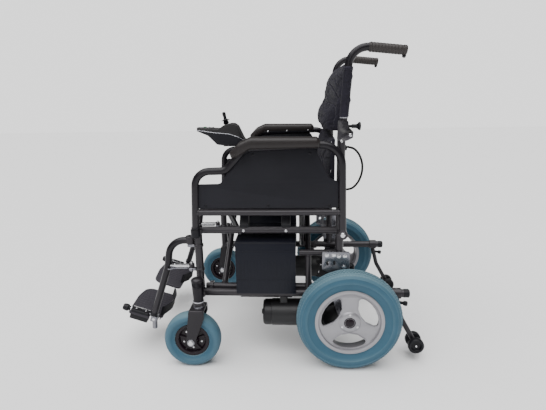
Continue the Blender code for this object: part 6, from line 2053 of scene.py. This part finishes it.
@dataclass
class Controller:
    """The joystick box on the right armrest, with its clamp, buttons and rocker."""

    repeats: Repeats
    y: float = 0.285
    top_z: float = 0.697
    stick: Point = (-0.438, 0.285, 0.694)
    lean: float = 12.0
    key_x: float = -0.532
    key_y: float = 0.017
    rocker_x: float = -0.503
    knob: Point = (-0.394, 0.263)

    def half(self, x: float) -> float:
        """Half the box's width at an X value."""
        if x > -0.520:
            back = max(0.0, (x + 0.383) / 0.012)
            return 0.0350 - 0.004 * back * back
        share = min(1.0, (-0.520 - x) / 0.039)
        return 0.0350 - 0.0160 * share**1.7

    def body(self, form: Form, outline: Pairs, edge: float, look: Look) -> None:
        """Adds a shell whose sides follow the box's plan and whose edges are rounded.

        Args:
            form: The piece.
            outline: Its side view.
            edge: The rounding of its edges.
            look: Its finish.
        """
        flat = [Vector((x, 0, z)) for x, z in outline]
        count = len(flat)
        turning = sum((b.x - a.x) * (b.z + a.z) for a, b in zip(flat, flat[1:] + flat[:1]))
        inward = []
        for i in range(count):
            along = (flat[(i + 1) % count] - flat[i - 1]).normalized()
            side = Vector((-along.z, 0, along.x))
            inward.append(side if turning < 0 else -side)
        turns = [math.pi / 2 * i / 5 for i in range(6)]
        rims = [(edge * (1 - math.cos(t)), edge * (1 - math.sin(t))) for t in turns]
        rows = [(-1, *rim) for rim in rims] + [(1, *rim) for rim in reversed(rims)]
        verts = []
        for way, inset, shrink in rows:
            for p, inner in zip(flat, inward):
                q = p + inner * shrink
                verts.append((q.x, self.y + way * (self.half(p.x) - inset), q.z))
        form.absorb(plain(verts, bands(len(rows), count) + ends(len(rows), count)), look)

    def case(self, seam: Pairs) -> None:
        """Makes the lower case with the silver parting line along the seam."""
        under = mm(-376, 642, -397, 625, -452, 625, -478, 629, -491, 643, -512, 664, -558, 681)
        foot = curved(under, [0.008, 0.010, 0.015, 0.012, 0.015], 4)
        case = Form("control_case")
        self.body(case, [(x, z - 0.0002) for x, z in seam] + foot, 0.0035, Look.CONTROL)
        case.slab((-0.450, self.y - 0.026, 0.6228), (-0.392, self.y + 0.026, 0.6258), Look.LINE, 0.0008)
        corners = [(x, self.y + v, 0.6262) for x in (-0.462, -0.470) for v in (-0.022, 0.022)]
        self.repeats.fix(case, [(corner, (0, 0, -1), 0.0028, 0.0010) for corner in corners])
        path = [(x, self.y - self.half(x) + 0.0016, z) for x, z in reversed(seam)]
        path += [(x, self.y + self.half(x) - 0.0016, z) for x, z in seam]
        case.sweep(path, 0.0013, Look.LINE, 8, 0.0003)
        deliver(case.done(30), "right_armrest", "controller_housing")

    def cover(self, seam: Pairs) -> None:
        """Makes the cover above the seam, with the wells of its stick, its keys and its rocker."""
        top = mm(
            -373, 656, -384.5, 680, -393.5, 700, -408, 710, -424, 711, -450, 704, -469, 690.5, -513, 693.5,
            -559, 696,
        )
        rise = curved(top, [0.02, 0.012, 0.012, 0.02, 0.02, 0.02, 0.05], 4)
        cover = Form("control_cover")
        self.body(cover, [(x, z + 0.0003) for x, z in seam] + rise, 0.0030, Look.HUMP)
        ball = standing(*self.stick)
        well = Form("well")
        well.turn(mm(0, 30, 31, 30, 19.2, 4.5, 18.6, -16.9, 0, -16.9), ball, Look.CONTROL, 32)
        cover.cut(well)
        for way in (-1, 1):
            bore = Form("bore")
            place = standing(self.key_x, self.y + way * self.key_y, self.top_z + 0.0105)
            bore.plate(circle(0, 0, 0.0063, 28), 0.040, place, Look.CONTROL)
            cover.cut(bore)
        slot = Form("slot")
        edge = mm(-513.5, -6.5, -492.5, -6.5, -492.5, 6.5, -513.5, 6.5)
        slot.plate(edge, 0.040, standing(0, self.y, self.top_z + 0.0100), Look.CONTROL)
        cover.cut(slot)
        cover.ring(mm(18.8, 0.8, 20, 1.5, 20.2, 4.2, 19.6, 5.2, 19, 4.2), ball, Look.CONTROL, 32)
        for x, wide in ((-0.5485, 0.004), (-0.5445, 0.006), (-0.5405, 0.008)):
            low, high = (x - 0.0007, self.y - wide, 0.6950), (x + 0.0007, self.y + wide, 0.6966)
            cover.slab(low, high, Look.LINE, 0.0003)
        deliver(cover.done(30), "right_armrest", "controller_panel")

    def clamp(self) -> None:
        """Makes the clamp that holds the box to the armrest tube, with its knob."""
        form = Form("control_clamp")
        form.slab((-0.4046, 0.2472, 0.5927), (-0.3834, 0.2788, 0.6234), Look.PLASTIC, 0.0045, segments=3)
        form.slab((-0.452, 0.2582, 0.6208), (-0.385, 0.3048, 0.6244), Look.CONTROL)
        form.slab((-0.4075, 0.2520, 0.6000), (-0.3805, 0.2740, 0.6040), Look.PLASTIC, 0.0012)
        x, y = self.knob
        profile = mm(
            0, 574.5, 8.5, 574.5, 11.2, 576.2, 11.6, 580, 11.2, 584.6, 8.5, 586.2, 5, 587, 4.5, 596, 0, 596
        )
        form.turn(profile, standing(x, y, 0), Look.PLASTIC, 28)
        for c, s in spokes(8):
            place = standing(x + 0.0112 * c, y + 0.0112 * s, 0)
            form.disc(0.0019, 0.5765, 0.5845, place, Look.PLASTIC, 0.0006)
        spots = []
        for side_y, way in ((0.2472, -1), (0.2788, 1)):
            corners = [(bolt_x, side_y, z) for bolt_x in (-0.400, -0.388) for z in (0.598, 0.618)]
            spots += [(corner, (0, way, 0), 0.0032, 0.0022) for corner in corners]
        self.repeats.fix(form, spots, "bolt")
        deliver(form.done(32), "right_armrest", "controller_bracket")

    def stick_parts(self) -> None:
        """Makes the ball and the joystick with its bellows, its flange and its grip."""
        x, y, z = self.stick
        place = standing(x, y, z)
        ball = Form("stick_ball")
        turns = [math.pi * i / 14 for i in range(15)]
        profile = [(0.0165 * math.sin(t), 0.0165 * math.cos(t)) for t in turns]
        ball.turn(profile, place, Look.PLASTIC, 36)
        ball.sweep([(x, y - 0.021, z), (x, y + 0.021, z)], 0.0032, Look.BOLT, 16)
        deliver(ball.done(40), "gimbal", "joystick_gimbal")
        form = Form("stick_lever")
        lean = place @ spun(-self.lean, "Y")
        lever = mm(
            0, 62.8, 3, 62.6, 5.2, 61.6, 6.6, 59.8, 7.2, 56.5, 7.2, 53.5, 6.6, 48, 6.1, 43, 6.2, 39, 6.8, 35,
            8.2, 33, 15, 31.2, 16.4, 30.4, 16.5, 29.2, 15.8, 28.4, 10, 27.6, 9, 26.2, 11.2, 24.6, 9.8, 23,
            12.2, 21.2, 10.6, 19.6, 12.2, 18.2, 11, 16.7, 8.5, 15, 0, 15,
        )
        form.turn(lever, lean, Look.PLASTIC, 32)
        form.ring(mm(6.7, 50, 7.4, 49.6, 7.4, 51.2, 6.8, 51.6), lean, Look.GRIP, 32)
        deliver(form.done(40), "stick", "joystick")

    def keys(self) -> None:
        """Makes the two push buttons and the rocker."""
        top = self.top_z
        key = [(r, top + h) for r, h in mm(0, -0.7, 2.6, -0.4, 4.4, 0, 5.4, -0.4, 6, -1.4, 6, -7.5, 0, -7.5)]
        for name, way, look, body, slot in (
            ("power_button", 1, Look.GREEN, "power", "button_green"),
            ("horn_button", -1, Look.PLASTIC, "horn", "black_plastic"),
        ):
            form = Form(f"{name}_cap")
            form.turn(key, standing(self.key_x, self.y + way * self.key_y, 0), look, 28)
            deliver(form.done(40), body, name)
        form = Form("rocker_cap")
        wave = [(-0.0095, top - 0.0065), (0.0095, top - 0.0065)]
        wave += [(0.0095 - 0.0019 * i, top - 0.0016 * math.sin(math.pi * i / 10)) for i in range(11)]
        middle = self.rocker_x
        form.plate([(middle + x, z) for x, z in wave], 0.0117, upright(self.y), Look.PLASTIC, 0.0007)
        for x in (middle - 0.0072, middle + 0.0072):
            low = (x - 0.0008, self.y - 0.0032, top - 0.0008)
            high = (x + 0.0008, self.y + 0.0032, top - 0.0001)
            form.slab(low, high, Look.LINE, 0.0002)
        deliver(form.done(34), "rocker", "speed_rocker")

    def build(self) -> None:
        """Makes the controller."""
        knots = mm(-559.5, 685.7, -489, 676.5, -424, 670, -388, 657, -366.5, 643.2)
        seam = curved(knots, [0.05, 0.05, 0.02], 5)
        self.case(seam)
        self.cover(seam)
        self.clamp()
        self.stick_parts()
        self.keys()


@dataclass
class Cushion:
    """A padded form: a moulded start, blown up as cloth, then seamed and creased."""

    name: str
    counts: tuple[int, int, int]
    place: Callable[[float, float, float], Point]
    crease: Callable[[Vector, Vector], float]
    cap: float
    pinned: Callable[[Vector], bool]
    voxel: float
    frames: int = 20

    def start(self) -> bpy.types.Mesh:
        """The moulded start as a closed grid."""
        found: dict[tuple[int, ...], int] = {}
        verts: list[Point] = []
        faces = []

        def corner(spot: tuple[int, ...]) -> int:
            """The point at a grid corner."""
            if spot not in found:
                found[spot] = len(verts)
                verts.append(self.place(*(2 * a / n - 1 for a, n in zip(spot, self.counts))))
            return found[spot]

        for axis in range(3):
            a, b = [n for n in range(3) if n != axis]
            for end in (0, self.counts[axis]):
                for p in range(self.counts[a]):
                    for q in range(self.counts[b]):
                        ring = []
                        for dp, dq in ((0, 0), (1, 0), (1, 1), (0, 1)):
                            spot = [0, 0, 0]
                            spot[axis], spot[a], spot[b] = end, p + dp, q + dq
                            ring.append(corner(tuple(spot)))
                        faces.append(tuple(ring))
        mesh = plain(verts, faces)
        shape = bmesh.new()
        shape.from_mesh(mesh)
        bmesh.ops.recalc_face_normals(shape, faces=shape.faces)
        shape.to_mesh(mesh)
        shape.free()
        return mesh

    def even(self, mesh: bpy.types.Mesh) -> bpy.types.Mesh:
        """The same form in even quads. The start is used up."""
        source = bpy.data.objects.new(self.name, mesh)
        remesh = source.modifiers.new("even", "REMESH")
        remesh.mode = "VOXEL"
        remesh.voxel_size = self.voxel
        return baked(source)

    def blown(self, mesh: bpy.types.Mesh) -> bpy.types.Mesh:
        """The form swelled by pressure, no point further than the cap.

        Args:
            mesh: The even mesh.

        Returns:
            The swelled mesh.
        """
        before = [v.co.copy() for v in mesh.vertices]
        source = link(bpy.data.objects.new(self.name, mesh))
        group = source.vertex_groups.new(name="held")
        group.add([i for i, point in enumerate(before) if self.pinned(point)], 1.0, "REPLACE")
        cloth = source.modifiers.new("cloth", "CLOTH")
        cloth.settings.use_pressure = True
        cloth.settings.uniform_pressure_force = 4
        cloth.settings.vertex_group_mass = "held"
        cloth.settings.tension_stiffness = 22
        cloth.settings.bending_stiffness = 0.8
        cloth.settings.quality = 5
        cloth.settings.effector_weights.gravity = 0
        cloth.point_cache.frame_start = 1
        cloth.point_cache.frame_end = self.frames
        scene = bpy.context.scene
        for number in range(1, self.frames + 1):
            scene.frame_set(number)
        graph = bpy.context.evaluated_depsgraph_get()
        made = bpy.data.meshes.new_from_object(source.evaluated_get(graph))
        source.modifiers.remove(cloth)
        bpy.data.objects.remove(source)
        scene.frame_set(1)
        for vert, old in zip(made.vertices, before):
            shift = vert.co - old
            if shift.length > self.cap:
                vert.co = old + shift.normalized() * self.cap
        return made

    def sewn(self, mesh: bpy.types.Mesh) -> bpy.types.Mesh:
        """The form with one subdivision, its seams and its creases.

        Args:
            mesh: The swelled mesh.

        Returns:
            The finished mesh.
        """
        source = bpy.data.objects.new(self.name, mesh)
        smooth = source.modifiers.new("smooth", "SUBSURF")
        smooth.levels = 1
        smooth.render_levels = 1
        made = baked(source)
        normals = [v.normal.copy() for v in made.vertices]
        shifts = [self.crease(v.co, n) for v, n in zip(made.vertices, normals)]
        for vert, normal, shift in zip(made.vertices, normals, shifts):
            vert.co += normal * shift
        return made

    def build(self) -> bpy.types.Mesh:
        """The finished cushion's mesh."""
        mesh = self.even(self.start())
        mesh = self.blown(mesh)
        return self.sewn(mesh)


def groove(distance: float, width: float) -> float:
    """How deep a sewn groove is at a distance from its seam, from 0 to 1."""
    share = abs(distance) / width
    return math.exp(-share * share * 2.5)


def crumple(spot: Vector, stretch: Point, seed: float, sharp: float = 0.22) -> float:
    """Thin creases among soft lumps, from -1 in a crease to about 1 on a lump.

    Args:
        spot: The place.
        stretch: How tightly the creases follow each other along each axis.
        seed: Which pattern it is.
        sharp: How wide a crease is.

    Returns:
        The height.
    """
    moved = spot + noise.noise_vector(spot * 9.0 + Vector((seed, 0, 0))) * 0.012
    scaled = Vector(a * b for a, b in zip(moved, stretch)) + Vector((0, 0, seed))
    fold = max(0.0, 1 - abs(noise.noise(scaled)) / sharp)
    return noise.noise(scaled * 0.45) * 0.9 - fold * fold


@dataclass
class Upholstery:
    """The slung seat and the two back pads."""

    repeats: Repeats
    seat_middle: float = -0.2635
    seat_half: float = 0.1765
    seat_width: float = 0.222
    seat_base: float = 0.4894
    seat_seams: tuple[float, ...] = (-0.5, 0.0, 0.5)
    upper_span: tuple[float, float] = (0.712, 0.906)
    upper_half: float = 0.2215
    lower_span: tuple[float, float] = (0.500, 0.700)
    lower_half: float = 0.236
    sleeve_span: tuple[float, float] = (0.7565, 0.8925)
    seam_v: float = 0.375
    bulges: tuple[tuple[float, float], ...] = (
        (0, 0.056), (0.12, 0.0605), (0.26, 0.057), (0.40, 0.043), (0.52, 0.038), (0.71, 0.035), (0.84, 0.028),
        (0.93, 0.015), (1, 0.002),
    )

    def cane_x(self, z: float) -> float:
        """Where the cane's centre line stands at a height."""
        return -0.025 + 0.016 * (z - 0.713) / (0.9485 - 0.713)

    def bulge(self, share: float) -> float:
        """How far the upper pad stands forward at a share of its height."""
        for (low, a), (high, b) in zip(self.bulges, self.bulges[1:]):
            if share <= high:
                t = max(0.0, share - low) / (high - low)
                t = t * t * (3 - 2 * t)
                return a + (b - a) * t
        return self.bulges[-1][1]

    def _covered(self, name: str, cushion: Cushion, lines: list[list[Point]], down: Point) -> Form:
        """A pad with stitches where its seam lines drop on to its cushion.

        Args:
            name: The piece's name.
            cushion: The pad's cushion.
            lines: The lines, clear of the cushion.
            down: The way that they drop.

        Returns:
            The piece.
        """
        form = Form(name)
        form.absorb(cushion.build(), Look.NYLON)
        tree = BVHTree.FromBMesh(form.shape)
        drop = Vector(down)
        kept = []
        for line in lines:
            hits = [tree.ray_cast(Vector(spot), drop)[0] for spot in line]
            kept.append([hit - drop * 0.0002 for hit in hits if hit is not None])
        self.repeats.sew(form, [row for row in kept if len(row) > 2], 0.0048)
        return form

    def _laid(self, form: Form, body: str, node: str) -> None:
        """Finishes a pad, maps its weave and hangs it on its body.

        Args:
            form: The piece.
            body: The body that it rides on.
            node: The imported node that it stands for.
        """
        made = form.done(80)
        cloth_map(made.data)
        deliver(made, body, node)
        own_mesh(made)

    def _seams(self, half: float, upright_span: Point, edges: Point, reach: float) -> list[list[Point]]:
        """A back pad's seam lines, in front of it.

        Args:
            half: Half the pad's width.
            upright_span: Where the upright seams start and end.
            edges: The heights of the level seams.
            reach: Half the length of the level seams.

        Returns:
            The lines.
        """
        lines = []
        for v in (-self.seam_v, self.seam_v):
            for way in (-0.0040, 0.0040):
                lines.append([(-0.2, v * half + way, z) for z in span(*upright_span, 40)])
        return lines + [[(-0.2, y, z) for y in span(-reach, reach, 60)] for z in edges]

    def seat(self) -> None:
        """Makes the seat."""

        def place(u: float, v: float, w: float) -> Point:
            """A point of the seat's moulded start."""
            sag = max(0.0, 1 - (v / 0.72) ** 2) ** 0.6
            bottom = self.seat_base - 0.019 * sag + 0.0015
            crown = 0.013 * (1 - u**6) * (1 - v**4)
            top = self.seat_base + 0.0185 + crown
            tuck = 0.0045 * abs(u) ** 8
            reach = self.seat_half - 0.006
            x = self.seat_middle + u * (reach - tuck * w * w)
            y = v * (self.seat_width - 0.006 - 0.004 * abs(w) ** 6)
            return (x, y, bottom + (top - bottom) * (w + 1) / 2)

        def crease(spot: Vector, normal: Vector) -> float:
            """The seat's seams and creases."""
            u = (spot.x - self.seat_middle) / self.seat_half
            v = spot.y / self.seat_width
            up = max(0.0, normal.z)
            seam = max(groove((u - s) * self.seat_half, 0.0075) for s in self.seat_seams) * (1 - v**8)
            side = groove((abs(v) - 0.90) * self.seat_width, 0.006)
            ripple = crumple(spot, (24, 60, 30), 3.0) * 0.0016
            near = max(0.0, 1 - min(abs((u - s) * self.seat_half) for s in self.seat_seams) / 0.03)
            pucker = noise.noise(Vector((spot.x * 20, spot.y * 120, 4.0))) * 0.0011 * near
            return -(0.0048 * seam + 0.0026 * side) * up + ripple + pucker * up

        def pinned(spot: Vector) -> bool:
            """Whether the seat is held there, along its rails."""
            return abs(spot.y) > self.seat_width - 0.014

        cushion = Cushion("seat", (36, 44, 4), place, crease, 0.006, pinned, 0.0052)
        lines = []
        for s in self.seat_seams:
            x = self.seat_middle + s * self.seat_half
            for way in (-0.0042, 0.0042):
                lines.append([(x + way, y, self.seat_base + 0.060 + 0.0004) for y in span(-0.188, 0.188, 60)])
        form = self._covered("seat_cloth", cushion, lines, (0, 0, -1))
        self._laid(form, "brace_a", "seat_upholstery")

    def upper(self) -> None:
        """Makes the upper back pad with a sleeve round each cane."""
        low, high = self.upper_span
        half = self.upper_half

        def place(u: float, v: float, w: float) -> Point:
            """A point of the upper pad's moulded start."""
            z = low + 0.003 + (high - low - 0.007) * (w + 1) / 2
            if u > 0:
                return (self.cane_x(z) + 0.003, v * (half - 0.002), z)
            deep = max(0.0015, self.bulge((w + 1) / 2) - 0.0055) * (1 - v**8)
            share = (1 - u) / 2
            return (self.cane_x(z) + 0.003 - (0.008 + deep) * share, v * (half - 0.002), z)

        def crease(spot: Vector, normal: Vector) -> float:
            """The upper pad's seams, its waist and its folds."""
            v = spot.y / half
            share = (spot.z - low) / (high - low)
            front = max(0.0, -normal.x)
            seam = groove((abs(v) - self.seam_v) * half, 0.007)
            waist = groove((share - 0.47 - 0.03 * math.sin(v * 5.0)) * (high - low), 0.012)
            folds = crumple(spot, (30, 15, 44), 7.0, 0.20)
            fine = crumple(spot, (60, 46, 95), 11.0, 0.16)
            edge = 1 - 0.5 * abs(v) ** 6
            return front * (-0.0046 * seam - 0.0030 * waist + 0.0036 * folds * edge) + 0.0011 * fine

        def pinned(spot: Vector) -> bool:
            """Whether the pad is held there, at the canes."""
            return abs(spot.y) > half - 0.014

        cushion = Cushion("upper", (4, 52, 26), place, crease, 0.0055, pinned, 0.0046)
        lines = self._seams(half, (low + 0.012, high - 0.014), (high - 0.010, low + 0.008), 0.19)
        form = self._covered("back_cloth_upper", cushion, lines, (1, 0, 0))
        for sign in (-1, 1):
            self._sleeve(form, sign)
        self._laid(form, "left_cane", "back_upholstery_upper")

    def _sleeve(self, form: Form, sign: int) -> None:
        """Adds the sleeve round the cane of one side: a slack tube with a hem at each end."""
        y = sign * 0.232
        low, high = self.sleeve_span
        steps, sides = 44, 40
        verts = []
        stations = [(0.0, 0.0112), *[(share, 0.0134) for share in span(0, 1, steps)], (1.0, 0.0112)]
        for share, radius in stations:
            z = low + (high - low) * share
            hem = max(groove(share - 0.030, 0.018), groove(share - 0.968, 0.020))
            for j in range(sides):
                turn = 2 * math.pi * j / sides
                r = radius
                if radius > 0.012:
                    spot = Vector((self.cane_x(z) + 0.013 * math.cos(turn), y + 0.013 * math.sin(turn), z))
                    lumps = crumple(spot, (40, 40, 75), 5.0 + sign, 0.2)
                    pulled = groove(share - 0.80, 0.05) + groove(share - 0.33, 0.06)
                    behind = max(0.0, math.cos(turn)) * pulled
                    r += 0.0006 * hem + 0.0007 * lumps + behind * 0.0024 - (0.0003 if hem < 0.3 else 0.0)
                verts.append((self.cane_x(z) + r * math.cos(turn), y + r * math.sin(turn), z))
        count = len(stations)
        form.absorb(plain(verts, bands(count, sides) + band((count - 1) * sides, 0, sides)), Look.NYLON)
        for share in (0.062, 0.935):
            z = low + (high - low) * share
            loop = circle(self.cane_x(z), y, 0.0142, 40)
            self.repeats.sew(form, [[(*spot, z) for spot in [*loop, loop[0]]]], 0.0044)

    def lower(self) -> None:
        """Makes the lower back pad."""
        low, high = self.lower_span
        half = self.lower_half

        def place(u: float, v: float, w: float) -> Point:
            """A point of the lower pad's moulded start."""
            z = low + 0.004 + (high - low - 0.008) * (w + 1) / 2
            deep = 0.024 * (1 - v**8) * (1 - w**8)
            share = (1 - u) / 2
            return (-0.0445 - (0.010 + deep) * share, v * (half - 0.005), z)

        def crease(spot: Vector, normal: Vector) -> float:
            """The lower pad's seams and folds."""
            v = spot.y / half
            front = max(0.0, -normal.x)
            seam = groove((abs(v) - self.seam_v) * half, 0.007)
            folds = crumple(spot, (30, 13, 36), 19.0, 0.20)
            fine = crumple(spot, (60, 46, 90), 23.0, 0.16)
            return front * (-0.0044 * seam + 0.0026 * folds) + 0.0009 * fine

        def pinned(spot: Vector) -> bool:
            """Whether the pad is held there, at the posts."""
            return abs(spot.y) > half - 0.016 or spot.x > -0.0475

        cushion = Cushion("lower", (4, 54, 24), place, crease, 0.0060, pinned, 0.0046)
        lines = self._seams(half, (low + 0.014, high - 0.014), (high - 0.010, low + 0.010), 0.20)
        form = self._covered("back_cloth_lower", cushion, lines, (1, 0, 0))
        spots = [(-0.0562, sign * 0.2285, z) for sign in (-1, 1) for z in (0.520, 0.600, 0.682)]
        self.repeats.fix(form, [(spot, (-1, 0, 0), 0.0046, 0.0022) for spot in spots])
        self._laid(form, "left_frame", "back_upholstery_lower")

    def build(self) -> None:
        """Makes the seat and the back."""
        self.seat()
        self.upper()
        self.lower()


def main() -> None:
    """Dresses the whole chair and reports each piece."""
    logging.basicConfig(level=logging.INFO, format="%(message)s", stream=sys.stdout)
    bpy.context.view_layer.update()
    Studio().build()
    CableLoop().build()
    repeats = Repeats()
    for side in Side:
        SideFrame(side, repeats).build()
    CrossBrace("a", -1, (-0.3896, -0.1194), repeats).build()
    CrossBrace("b", 1, (-0.3684, -0.1406), repeats).build()
    for side in Side:
        for maker in (DriveWheel, Caster, DriveUnit, Battery, Armrest, BackCane, AntiTip, LegRest):
            maker(side, repeats).build()
            LOG.info("%s %s is done", side.label, maker.__name__)
    Controller(repeats).build()
    Upholstery(repeats).build()
    bpy.context.view_layer.update()


if __name__ == "__main__":
    main()
